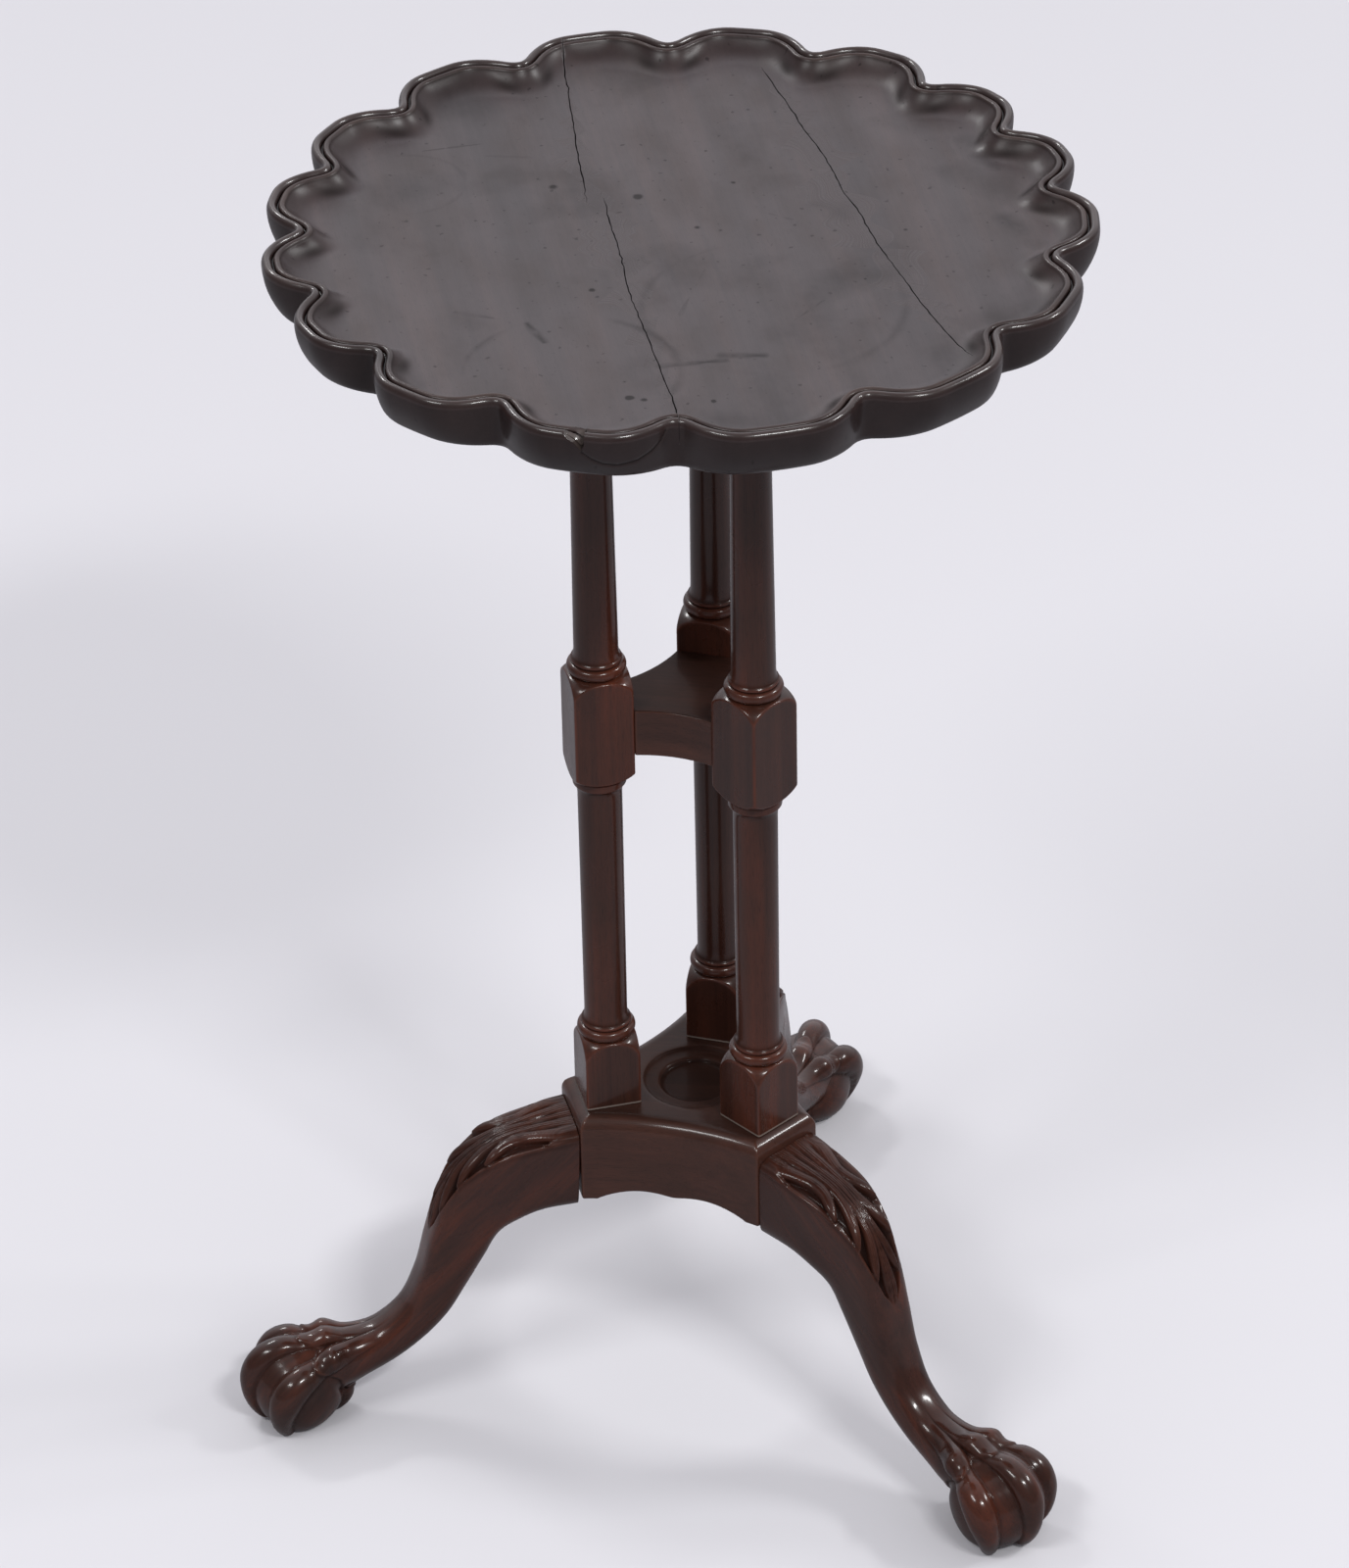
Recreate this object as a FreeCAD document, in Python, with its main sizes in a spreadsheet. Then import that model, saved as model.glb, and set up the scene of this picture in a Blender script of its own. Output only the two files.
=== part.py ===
# Gueridon: a round piecrust table top on three turned columns, a hollow-sided shelf and plinth, and three
# cabriole legs with claw-and-ball feet. Millimetres, +Z up, the origin on the table's axis at floor level.
# The rear leg points along +Y, and the other two stand a third of a turn to either side of it.
import FreeCAD, Part
import math
import os
import Sketcher
from FreeCAD import Placement, Rotation, Vector

SIZES = [
    ("table_height", 700, "floor to the top of the rim"),
    ("lobe_radius", 206.5, "axis to the outermost point of a rim lobe"),
    ("notch_radius", 189.5, "axis to the rim at a notch"),
    ("lobe_count", 16, "lobes round the rim"),
    ("first_notch", 108.7, "about the direction of one notch, degrees from +X"),
    ("lobe_crowding", 5.2, "how far the notches are shifted towards one side, degrees"),
    ("lobe_swing", 4.7, "how far they are shifted towards two opposite sides, degrees"),
    ("rim_height", 28, "underside of the top to the top of the rim"),
    ("dish_depth", 10, "top of the rim down to the flat of the dish"),
    ("side_tuck", 9, "how far the underside lies inside the lobes"),
    ("notch_tuck", 2, "how far the underside lies inside the notches"),
    ("bead_width", 5, "outer bead of the rim"),
    ("bead_height", 4, "outer bead of the rim"),
    ("quirk_depth", 1.6, "groove between the two beads of the rim"),
    ("inner_bead", 3, "width of the inner bead of the rim"),
    ("cove_width", 13, "hollow from the inner bead down to the flat"),
    ("platform_thick", 18, "block under the top that takes the columns"),
    ("platform_corner", 66, "axis to the cut corners of the platform"),
    ("platform_half_width", 20, "half the length of such a cut corner"),
    ("platform_sag", 7, "hollow of the platform's sides"),
    ("screw_circle", 28, "axis to the platform screws"),
    ("screw_dia", 4.5, "shank of a platform screw"),
    ("screw_head_dia", 9, "head of a platform screw"),
    ("screw_head_height", 3, "head of a platform screw"),
    ("screw_bite", 9, "length of a platform screw inside the top"),
    ("column_circle", 48, "axis of the table to the axis of a column"),
    ("shaft_foot_dia", 22.6, "lower shaft just above its rings"),
    ("shaft_mid_dia", 23.2, "lower shaft below the middle block"),
    ("shaft_upper_dia", 23, "upper shaft just above its rings"),
    ("shaft_neck_dia", 20, "upper shaft just below its capital"),
    ("low_block_side", 29.6, "square foot block of a column"),
    ("low_block_height", 35, "straight corner of the foot block"),
    ("mid_block_side", 31.4, "square middle block of a column"),
    ("mid_block_height", 51, "straight corner of the middle block"),
    ("mid_block_bottom", 390, "floor to the lower end of that corner"),
    ("shoulder_height", 6, "turned shoulder at the end of a block"),
    ("shoulder_round", 9, "radius of that shoulder"),
    ("ring_dia", 31, "large bead ring above a block"),
    ("ring_height", 6, "large bead ring above a block"),
    ("small_ring_dia", 27.4, "small bead ring above the large one"),
    ("small_ring_height", 4, "small bead ring above the large one"),
    ("collar_dia", 27.6, "flat collar under the middle block"),
    ("collar_height", 3, "flat collar under the middle block"),
    ("collar_cove", 2.5, "slope from that collar to the shaft"),
    ("capital_dia", 27, "turned end under the platform"),
    ("capital_height", 9, "turned end under the platform"),
    ("tenon_dia", 14, "round tenons on the ends of a column"),
    ("foot_tenon", 20, "length of the tenon in the plinth"),
    ("head_tenon", 13, "length of the tenon in the platform"),
    ("shelf_thick", 27, "middle shelf"),
    ("shelf_bottom", 400.5, "floor to the underside of the shelf"),
    ("shelf_half_width", 15.2, "half the length of a cut corner of the shelf"),
    ("shelf_sag", 3, "hollow of the shelf's sides"),
    ("shelf_dowel_dia", 8, "dowel between shelf and column"),
    ("shelf_dowel_length", 26, "dowel between shelf and column, half in each"),
    ("plinth_top", 180, "floor to the top of the plinth"),
    ("plinth_corner", 68.5, "axis to the cut corners of the plinth"),
    ("plinth_half_width", 22, "half the length of such a cut corner"),
    ("plinth_sag", 7, "hollow of the plinth's sides"),
    ("apron_depth", 43, "plinth below its moulding"),
    ("moulding_height", 9, "moulded edge round the top of the plinth"),
    ("moulding_lip", 3, "how far the moulding stands out at the corners"),
    ("moulding_round", 6, "radius of the moulding's upper edge"),
    ("sink_dia", 55, "stepped round sinking in the plinth, outer step"),
    ("sink_depth", 1.5, "stepped round sinking in the plinth, outer step"),
    ("well_dia", 38, "stepped round sinking in the plinth, inner step"),
    ("well_depth", 4, "stepped round sinking in the plinth, inner step"),
    ("wave_half", 41, "half the length of the wavy lower edge"),
    ("wave_drop", 3.5, "height of the wave's middle point over its ends"),
    ("wave_round", 52, "radius of the two humps of the wave"),
    ("wave_inset", 30, "axis to the back of the wavy cut"),
    ("leg_width", 42, "leg where it meets the plinth, across"),
    ("leg_joint_height", 48, "leg where it meets the plinth"),
    ("leg_drop", 1, "top of the leg below the moulding"),
    ("foot_reach", 225, "axis to the middle of a foot"),
    ("ball_radius", 25, "ball of the foot"),
    ("ball_height", 23, "floor to the middle of the ball"),
    ("claw_radius", 5, "claws over the ball"),
    ("claw_spread", 58, "side claws from the middle one, degrees"),
    ("leg_dowel_dia", 9, "dowels between leg and plinth"),
    ("leg_dowel_length", 40, "dowels between leg and plinth, half in each"),
    ("low_dowel", 135, "floor to the lower dowel of a leg"),
    ("high_dowel", 151, "floor to the upper dowel of a leg"),
    ("glue_gap", 0.1, "room round a dowel, tenon or screw"),
    ("end_room", 1, "room at the end of a dowel, tenon or screw"),
]

# Directions of the three corners, in degrees from +X.
CORNERS = {"rear": 90, "left": 210, "right": 330}
THIRD = 120
HALF_THIRD = 60

# The leg seen from the side: shares of the reach from plinth to foot, and of the height of the leg's top,
# for the upper and the lower edge, with the width as a share of that at the plinth and how square it is.
LEG_STATIONS = [
    (0.000, 1.000, 0.000, None, 1.000, 7.0),
    (0.140, 0.985, 0.124, 0.712, 0.970, 6.0),
    (0.280, 0.955, 0.206, 0.682, 0.886, 5.0),
    (0.395, 0.878, 0.276, 0.629, 0.738, 4.5),
    (0.467, 0.753, 0.333, 0.541, 0.638, 4.0),
    (0.511, 0.618, 0.397, 0.441, 0.588, 3.5),
    (0.556, 0.471, 0.473, 0.329, 0.560, 3.0),
    (0.619, 0.359, 0.562, 0.247, 0.547, 2.6),
    (0.708, 0.300, 0.663, 0.182, 0.572, 2.3),
    (0.810, 0.282, 0.771, 0.135, 0.643, 2.2),
    (0.911, 0.276, 0.867, 0.106, 0.681, 2.2),
]
SECTION_POINTS = 24

# The side of the rim from the underside up: shares of its height, and of the tuck at lobes and at notches still left.
RIM_SIDE = [(0, 1, 1), (0.2, 0.7, 0.9), (0.45, 0.3, 0.5), (0.75, 0.06, 0.15), (1, 0, 0)]
POINTS_PER_LOBE = 12
LOBE_FLANK = 0.6
CROWDING_TURN = 31.0
SWING_TURN = -24.4

# Where the claws rise out of the ankle and where they end, in degrees above the horizontal. The starts are
# staggered, so that no two claws meet on the ball.
SIDE_CLAW_START = 64
MIDDLE_CLAW_START = 84
REAR_CLAW_START = 60
CLAW_END = -48


class Size:
    """A number and the sheet expression that gives it, so that a feature can be bound to it."""

    def __init__(self, value, text):
        self.value = float(value)
        self.text = text

    def joined(self, other, sign, value):
        return Size(value, f"({self.text} {sign} {as_size(other).text})")

    def __add__(self, other):
        return self.joined(other, "+", self.value + as_size(other).value)

    def __sub__(self, other):
        return self.joined(other, "-", self.value - as_size(other).value)

    def __mul__(self, other):
        return self.joined(other, "*", self.value * as_size(other).value)

    def __truediv__(self, other):
        return self.joined(other, "/", self.value / as_size(other).value)


def as_size(number):
    return number if isinstance(number, Size) else Size(number, f"{number:.9g}")


doc = FreeCAD.newDocument("gueridon")
sheet = doc.addObject("Spreadsheet::Sheet", "Sizes")
for row, (alias, number, meaning) in enumerate(SIZES, start=1):
    sheet.set(f"A{row}", meaning)
    sheet.set(f"B{row}", str(number))
    sheet.setAlias(f"B{row}", alias)
doc.recompute()


def cell(alias):
    return Size(getattr(sheet, alias), f"Sizes.{alias}")


def bind(feature, prop, size):
    feature.setExpression(prop, as_size(size).text)


def turned(degrees):
    return math.cos(math.radians(degrees)), math.sin(math.radians(degrees))


# Sketching: every corner of an outline is held by its two distances from the sketch's origin.
def origin_feature(body, role):
    return next(feature for feature in body.Origin.OriginFeatures if feature.Role == role)


def new_sketch(body, name, plane="XY_Plane", level=0, turn=0):
    """A sketch on one of the body's planes, moved along its normal and turned about its upright axis."""
    sketch = body.newObject("Sketcher::SketchObject", name)
    sketch.AttachmentSupport = [(origin_feature(body, plane), "")]
    sketch.MapMode = "FlatFace"
    cosine, sine = turned(turn)
    sketch.AttachmentOffset = Placement(Vector(0, 0, 0), Rotation(Vector(0, 1, 0), turn))
    bind(sketch, "AttachmentOffset.Base.x", as_size(level) * sine)
    bind(sketch, "AttachmentOffset.Base.z", as_size(level) * cosine)
    return sketch


def hold(sketch, geometry, point, x, y):
    for kind, axis, size in (("DistanceX", -2, as_size(x)), ("DistanceY", -1, as_size(y))):
        if size.text == "0":
            sketch.addConstraint(Sketcher.Constraint("PointOnObject", geometry, point, axis))
        else:
            index = sketch.addConstraint(Sketcher.Constraint(kind, -1, 1, geometry, point, size.value))
            bind(sketch, f"Constraints[{index}]", size)


def outline(sketch, corners):
    """A closed outline. A corner is (x, y), or (x, y, radius, side) if an arc leads on from it to the next
    corner: side is 1 for an arc that turns left on its way and -1 for one that turns right. A radius of None
    makes a half circle between two corners that stand one above the other."""
    points = [Vector(as_size(corner[0]).value, as_size(corner[1]).value, 0) for corner in corners]
    starts = []
    for index, corner in enumerate(corners):
        here = points[index]
        there = points[(index + 1) % len(points)]
        if len(corner) == 2:
            starts.append((sketch.addGeometry(Part.LineSegment(here, there), False), 1, 2))
            continue
        side = corner[3]
        middle = (here + there) * 0.5
        chord = there - here
        half = chord.Length / 2
        radius = half if corner[2] is None else corner[2].value
        rise = radius - math.sqrt(max(radius ** 2 - half ** 2, 0))
        bulge = Vector(chord.y, -chord.x, 0).normalize() * rise * side
        arc = sketch.addGeometry(Part.Arc(here, middle + bulge, there), False)
        starts.append((arc, 1, 2) if side > 0 else (arc, 2, 1))
    for index, corner in enumerate(corners):
        geometry, start, end = starts[index]
        following = starts[(index + 1) % len(starts)]
        sketch.addConstraint(Sketcher.Constraint("Coincident", geometry, end, following[0], following[1]))
    for index, corner in enumerate(corners):
        geometry, start, end = starts[index]
        hold(sketch, geometry, start, corner[0], corner[1])
        if len(corner) == 4 and corner[2] is None:
            upright = Sketcher.Constraint("DistanceX", -1, 1, geometry, 3, corner[0].value)
            bind(sketch, f"Constraints[{sketch.addConstraint(upright)}]", corner[0])
        elif len(corner) == 4:
            constraint = sketch.addConstraint(Sketcher.Constraint("Radius", geometry, corner[2].value))
            bind(sketch, f"Constraints[{constraint}]", corner[2])


def circle(sketch, x, y, diameter):
    size = as_size(diameter)
    centre = Vector(as_size(x).value, as_size(y).value, 0)
    geometry = sketch.addGeometry(Part.Circle(centre, Vector(0, 0, 1), size.value / 2), False)
    hold(sketch, geometry, 3, x, y)
    constraint = sketch.addConstraint(Sketcher.Constraint("Diameter", geometry, size.value))
    bind(sketch, f"Constraints[{constraint}]", size)


def hollow_triangle(sketch, corner, half_width, sag):
    """Three cut corners, the first one towards +X, with hollow arcs between them."""
    half_chord = corner * turned(HALF_THIRD)[1] - half_width * turned(HALF_THIRD)[0]
    radius = (half_chord * half_chord + sag * sag) / (sag * 2)
    corners = []
    for number in range(3):
        cosine, sine = turned(number * THIRD)
        corners.append((corner * cosine + half_width * sine, corner * sine - half_width * cosine))
        corners.append((corner * cosine - half_width * sine, corner * sine + half_width * cosine,
                        radius, -1))
    outline(sketch, corners)


# Features of a body.
def new_body(label):
    body = doc.addObject("PartDesign::Body", label)
    body.Label = label
    return body


def pad(body, sketch, length):
    feature = body.newObject("PartDesign::Pad", f"{sketch.Name}_pad")
    feature.Profile = sketch
    bind(feature, "Length", length)
    doc.recompute()
    return feature


def pocket(body, sketch, length, forward=False):
    """Cuts against the sketch's normal, or along it if forward."""
    before = body.Shape.Volume
    feature = body.newObject("PartDesign::Pocket", f"{sketch.Name}_pocket")
    feature.Profile = sketch
    feature.Reversed = forward
    bind(feature, "Length", length)
    doc.recompute()
    if not body.Shape.Volume < before - 1e-3:
        raise RuntimeError(f"{feature.Name} cuts nothing")
    return feature


def thrice(body, feature):
    pattern = body.newObject("PartDesign::PolarPattern", f"{feature.Name}_thrice")
    pattern.Originals = [feature]
    pattern.Axis = (origin_feature(body, "Z_Axis"), [""])
    pattern.Angle = 360
    pattern.Occurrences = 3
    body.Tip = pattern
    doc.recompute()
    return pattern


# Heights that several pieces share.
table_height = cell("table_height")
top_underside = table_height - cell("rim_height")
platform_bottom = top_underside - cell("platform_thick")
plinth_top = cell("plinth_top")
apron_top = plinth_top - cell("moulding_height")
plinth_bottom = apron_top - cell("apron_depth")
mid_block_bottom = cell("mid_block_bottom")
mid_block_top = mid_block_bottom + cell("mid_block_height")
shelf_middle = cell("shelf_bottom") + cell("shelf_thick") / 2
shelf_corner = cell("column_circle") - cell("mid_block_side") / 2
glue_gap = cell("glue_gap")
end_room = cell("end_room")
tenon_bore = cell("tenon_dia") + glue_gap * 2


# Columns: turned between square blocks, with round tenons at both ends.
def ring_corners(level):
    """A large half-round ring and a small one above it, from the level of the block's shoulder upward."""
    large_in = (cell("ring_dia") - cell("ring_height")) / 2
    small_in = (cell("small_ring_dia") - cell("small_ring_height")) / 2
    large_top = level + cell("ring_height")
    small_top = large_top + cell("small_ring_height")
    corners = [
        (large_in, level, None, 1),
        (large_in, large_top),
        (small_in, large_top, None, 1),
        (small_in, small_top),
    ]
    return corners, small_top


def column_profile(sketch):
    diagonal = math.sqrt(0.5)
    low_corner = cell("low_block_side") * diagonal
    mid_corner = cell("mid_block_side") * diagonal
    tenon = cell("tenon_dia") / 2
    shoulder = cell("shoulder_round")
    low_end = plinth_top + cell("low_block_height")
    low_rings, low_shaft = ring_corners(low_end + cell("shoulder_height"))
    mid_rings, upper_shaft = ring_corners(mid_block_top + cell("shoulder_height"))
    collar_top = mid_block_bottom - cell("shoulder_height")
    collar_bottom = collar_top - cell("collar_height")
    capital_bottom = platform_bottom - cell("capital_height")
    outline(sketch, [
        (0, plinth_top - cell("foot_tenon")),
        (tenon, plinth_top - cell("foot_tenon")),
        (tenon, plinth_top),
        (low_corner, plinth_top),
        (low_corner, low_end, shoulder, 1),
        *low_rings,
        (cell("shaft_foot_dia") / 2, low_shaft),
        (cell("shaft_mid_dia") / 2, collar_bottom - cell("collar_cove")),
        (cell("collar_dia") / 2, collar_bottom),
        (cell("collar_dia") / 2, collar_top, shoulder, 1),
        (mid_corner, mid_block_bottom),
        (mid_corner, mid_block_top, shoulder, 1),
        *mid_rings,
        (cell("shaft_upper_dia") / 2, upper_shaft),
        (cell("shaft_neck_dia") / 2, capital_bottom),
        (cell("capital_dia") / 2, platform_bottom - cell("capital_height") / 2),
        (cell("capital_dia") / 2, platform_bottom),
        (tenon, platform_bottom),
        (tenon, platform_bottom + cell("head_tenon")),
        (0, platform_bottom + cell("head_tenon")),
    ])


def square_block(body, name, side, level, height):
    """Cuts the turned piece down to a square between two heights."""
    sketch = new_sketch(body, name, level=level)
    half = side / 2
    outline(sketch, [(half, half), (half * -1, half), (half * -1, half * -1), (half, half * -1)])
    circle(sketch, 0, 0, side * 2)
    pocket(body, sketch, height, forward=True)


def column(place):
    body = new_body(f"column_{place}")
    profile = new_sketch(body, f"column_{place}_profile", "XZ_Plane")
    column_profile(profile)
    turning = body.newObject("PartDesign::Revolution", f"column_{place}_turning")
    turning.Profile = profile
    turning.ReferenceAxis = (profile, ["V_Axis"])
    turning.Angle = 360
    doc.recompute()
    shoulder = cell("shoulder_height")
    square_block(body, f"column_{place}_foot_block", cell("low_block_side"), plinth_top,
                 cell("low_block_height") + shoulder)
    square_block(body, f"column_{place}_mid_block", cell("mid_block_side"), mid_block_bottom - shoulder,
                 cell("mid_block_height") + shoulder * 2)
    bore = new_sketch(body, f"column_{place}_bore", "YZ_Plane", cell("mid_block_side") * -0.5)
    circle(bore, 0, shelf_middle, cell("shelf_dowel_dia") + glue_gap * 2)
    pocket(body, bore, cell("shelf_dowel_length") / 2 + end_room, forward=True)
    angle = CORNERS[place]
    cosine, sine = turned(angle)
    body.Placement = Placement(Vector(0, 0, 0), Rotation(Vector(0, 0, 1), angle))
    bind(body, "Placement.Base.x", cell("column_circle") * cosine)
    bind(body, "Placement.Base.y", cell("column_circle") * sine)
    return body


# Plinth, shelf and platform: boards with three cut corners and hollow sides.
def facing_rear(body):
    body.Placement = Placement(Vector(0, 0, 0), Rotation(Vector(0, 0, 1), CORNERS["rear"]))
    return body


def plinth():
    body = new_body("plinth")
    corner = cell("plinth_corner")
    half_width = cell("plinth_half_width")
    sag = cell("plinth_sag")
    apron = new_sketch(body, "plinth_apron", level=plinth_bottom)
    hollow_triangle(apron, corner, half_width, sag)
    pad(body, apron, cell("apron_depth"))
    moulding = new_sketch(body, "plinth_moulding", level=apron_top)
    hollow_triangle(moulding, corner + cell("moulding_lip"), half_width, sag)
    board = pad(body, moulding, cell("moulding_height"))
    top_edges = []
    for number, edge in enumerate(board.Shape.Edges, start=1):
        if edge.BoundBox.ZMin > plinth_top.value - 1e-3:
            top_edges.append(f"Edge{number}")
    rounding = body.newObject("PartDesign::Fillet", "plinth_rounding")
    rounding.Base = (board, top_edges)
    bind(rounding, "Radius", cell("moulding_round"))
    doc.recompute()
    for name, diameter, depth in (("sink", "sink_dia", "sink_depth"), ("well", "well_dia", "well_depth")):
        sinking = new_sketch(body, f"plinth_{name}", level=plinth_top)
        circle(sinking, 0, 0, cell(diameter))
        pocket(body, sinking, cell(depth))
    mortise = new_sketch(body, "plinth_mortise", level=plinth_top)
    circle(mortise, cell("column_circle"), 0, tenon_bore)
    thrice(body, pocket(body, mortise, cell("foot_tenon") + end_room))
    bores = new_sketch(body, "plinth_bores", "YZ_Plane", corner)
    for height in ("low_dowel", "high_dowel"):
        circle(bores, 0, cell(height), cell("leg_dowel_dia") + glue_gap * 2)
    thrice(body, pocket(body, bores, cell("leg_dowel_length") / 2 + end_room))
    wave = new_sketch(body, "plinth_wave", "YZ_Plane", cell("wave_inset"), HALF_THIRD)
    half = cell("wave_half")
    below = plinth_bottom - end_room
    outline(wave, [
        (half * -1, below),
        (half, below),
        (half, plinth_bottom, cell("wave_round"), 1),
        (0, plinth_bottom + cell("wave_drop"), cell("wave_round"), 1),
        (half * -1, plinth_bottom),
    ])
    thrice(body, pocket(body, wave, corner, forward=True))
    return facing_rear(body)


def mid_shelf():
    body = new_body("mid_shelf")
    plan = new_sketch(body, "shelf_plan", level=cell("shelf_bottom"))
    hollow_triangle(plan, shelf_corner, cell("shelf_half_width"), cell("shelf_sag"))
    pad(body, plan, cell("shelf_thick"))
    bore = new_sketch(body, "shelf_bore", "YZ_Plane", shelf_corner)
    circle(bore, 0, shelf_middle, cell("shelf_dowel_dia") + glue_gap * 2)
    thrice(body, pocket(body, bore, cell("shelf_dowel_length") / 2 + end_room))
    return facing_rear(body)


def top_platform():
    body = new_body("top_platform")
    plan = new_sketch(body, "platform_plan", level=platform_bottom)
    hollow_triangle(plan, cell("platform_corner"), cell("platform_half_width"), cell("platform_sag"))
    pad(body, plan, cell("platform_thick"))
    mortise = new_sketch(body, "platform_mortise", level=platform_bottom)
    circle(mortise, cell("column_circle"), 0, tenon_bore)
    thrice(body, pocket(body, mortise, cell("head_tenon") + end_room, forward=True))
    cosine, sine = turned(HALF_THIRD)
    holes = new_sketch(body, "platform_holes", level=platform_bottom)
    circle(holes, cell("screw_circle") * cosine, cell("screw_circle") * sine,
           cell("screw_dia") + glue_gap * 2)
    thrice(body, pocket(body, holes, cell("platform_thick"), forward=True))
    return facing_rear(body)


# Dowels and screws: each kind is one group of separate pieces.
def cylinder(name, diameter, length, x, y, z, direction):
    rod = doc.addObject("Part::Cylinder", name)
    rod.Placement = Placement(Vector(0, 0, 0), Rotation(Vector(0, 0, 1), direction))
    bind(rod, "Radius", diameter / 2)
    bind(rod, "Height", length)
    for axis, size in (("x", x), ("y", y), ("z", z)):
        bind(rod, f"Placement.Base.{axis}", size)
    return rod


def group(label, members):
    compound = doc.addObject("Part::Compound", label)
    compound.Label = label
    compound.Links = members
    return compound


def radial_dowels(label, diameter, length, joint, heights):
    """Dowels that point away from the axis, half on each side of the joint, at every corner."""
    dowels = []
    for place, angle in CORNERS.items():
        cosine, sine = turned(angle)
        inner = joint - length / 2
        for number, height in enumerate(heights):
            name = f"{label}_{place}_{number}"
            outward = Vector(cosine, sine, 0)
            dowels.append(cylinder(name, diameter, length, inner * cosine, inner * sine, height, outward))
    return group(label, dowels)


def platform_screws():
    screws = []
    head_height = cell("screw_head_height")
    shank_length = cell("platform_thick") + cell("screw_bite")
    upward = Vector(0, 0, 1)
    for place, angle in CORNERS.items():
        cosine, sine = turned(angle + HALF_THIRD)
        x = cell("screw_circle") * cosine
        y = cell("screw_circle") * sine
        head = cylinder(f"screw_head_{place}", cell("screw_head_dia"), head_height, x, y,
                        platform_bottom - head_height, upward)
        shank = cylinder(f"screw_shank_{place}", cell("screw_dia"), shank_length, x, y,
                         platform_bottom, upward)
        screw = doc.addObject("Part::Fuse", f"screw_{place}")
        screw.Base = head
        screw.Tool = shank
        screws.append(screw)
    return group("platform_screws", screws)


# Carved pieces, made from closed sections.
def closed_curve(points):
    curve = Part.BSplineCurve()
    curve.interpolate(points, PeriodicFlag=True)
    return Part.Wire([curve.toShape()])


def carved(label, shape):
    feature = doc.addObject("Part::Feature", label)
    feature.Label = label
    feature.Shape = shape
    return feature


def rim_levels():
    """The section of the top from its underside, up the side, over the two beads and down to the flat of the
    dish: the height, the inset from the lobe's outermost point and the inset from the notch."""
    height = sheet.table_height
    bottom = height - sheet.rim_height
    side = sheet.rim_height - sheet.bead_height
    bead = sheet.bead_width
    inner = bead + sheet.inner_bead
    flat = height - sheet.dish_depth
    cove = sheet.cove_width
    quirk = height - sheet.quirk_depth
    crown = height - sheet.quirk_depth / 4
    levels = []
    for share, at_lobe, at_notch in RIM_SIDE:
        levels.append((bottom + share * side, at_lobe * sheet.side_tuck, at_notch * sheet.notch_tuck))
    for level, inset in (
        (height - 0.25 * sheet.bead_height, 0.18 * bead),
        (height, 0.5 * bead),
        (crown, 0.8 * bead),
        (quirk, bead),
        (crown, bead + 0.45 * sheet.inner_bead),
        (quirk, inner),
        (flat + 0.3 * (quirk - flat), inner + 0.4 * cove),
        (flat, inner + cove),
    ):
        levels.append((level, inset, inset))
    return levels


def rim_outline(level, lobe, notch):
    """One closed line round the rim. Each lobe swells from a rounded notch over a steep flank to a broad front."""
    count = int(sheet.lobe_count)
    step = 360.0 / count
    points = []
    for number in range(count * POINTS_PER_LOBE):
        share = number % POINTS_PER_LOBE / POINTS_PER_LOBE
        rise = min(1, (1 - abs(1 - 2 * share)) / LOBE_FLANK)
        swell = rise ** 3 * (10 - 15 * rise + 6 * rise ** 2)
        radius = notch + (lobe - notch) * swell
        even = sheet.first_notch + number / POINTS_PER_LOBE * step
        crowded = sheet.lobe_crowding * turned(even - CROWDING_TURN)[0]
        swung = sheet.lobe_swing * turned(2 * even - SWING_TURN)[0]
        cosine, sine = turned(even + crowded + swung)
        points.append(Vector(radius * cosine, radius * sine, level))
    return closed_curve(points)


def table_top():
    wires = []
    for level, lobe_inset, notch_inset in rim_levels():
        wires.append(rim_outline(level, sheet.lobe_radius - lobe_inset, sheet.notch_radius - notch_inset))
    shape = Part.makeLoft(wires, True, True)
    depth = sheet.screw_bite + sheet.end_room
    for angle in CORNERS.values():
        cosine, sine = turned(angle + HALF_THIRD)
        mouth = Vector(sheet.screw_circle * cosine, sheet.screw_circle * sine, top_underside.value)
        shape = shape.cut(Part.makeCylinder(sheet.screw_dia / 2 + sheet.glue_gap, depth, mouth))
    return carved("table_top", shape)


def leg_section(upper, lower, width, squareness):
    """A closed section between a point on the upper edge and one on the lower edge, as wide as given. It is
    an oval for a squareness of 2 and comes closer to a rectangle as that grows."""
    middle = (upper + lower) * 0.5
    rise = (upper - lower) * 0.5
    points = []
    for number in range(SECTION_POINTS):
        cosine, sine = turned(360.0 * number / SECTION_POINTS)
        size = (abs(cosine) ** squareness + abs(sine) ** squareness) ** (-1 / squareness)
        points.append(middle + rise * (sine * size) + Vector(0, cosine * size * width / 2, 0))
    return closed_curve(points)


def claw(direction, start, end):
    """A round claw that bends over the ball in the upright plane of the given direction, from one angle
    above the horizontal to another, with a round tip."""
    centre = Vector(sheet.foot_reach, 0, sheet.ball_height)
    ahead = Vector(*turned(direction), 0)
    upward = Vector(0, 0, 1)

    def over_ball(angle):
        cosine, sine = turned(angle)
        return centre + (ahead * cosine + upward * sine) * sheet.ball_radius
    arc = Part.Arc(over_ball(start), over_ball((start + end) / 2), over_ball(end)).toShape()
    cosine, sine = turned(start)
    along = ahead * sine - upward * cosine
    section = Part.Wire([Part.makeCircle(sheet.claw_radius, over_ball(start), along)])
    finger = Part.Wire([arc]).makePipeShell([section], True, False)
    tip = Part.makeSphere(sheet.claw_radius, over_ball(end))
    return finger.fuse(tip)


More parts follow.
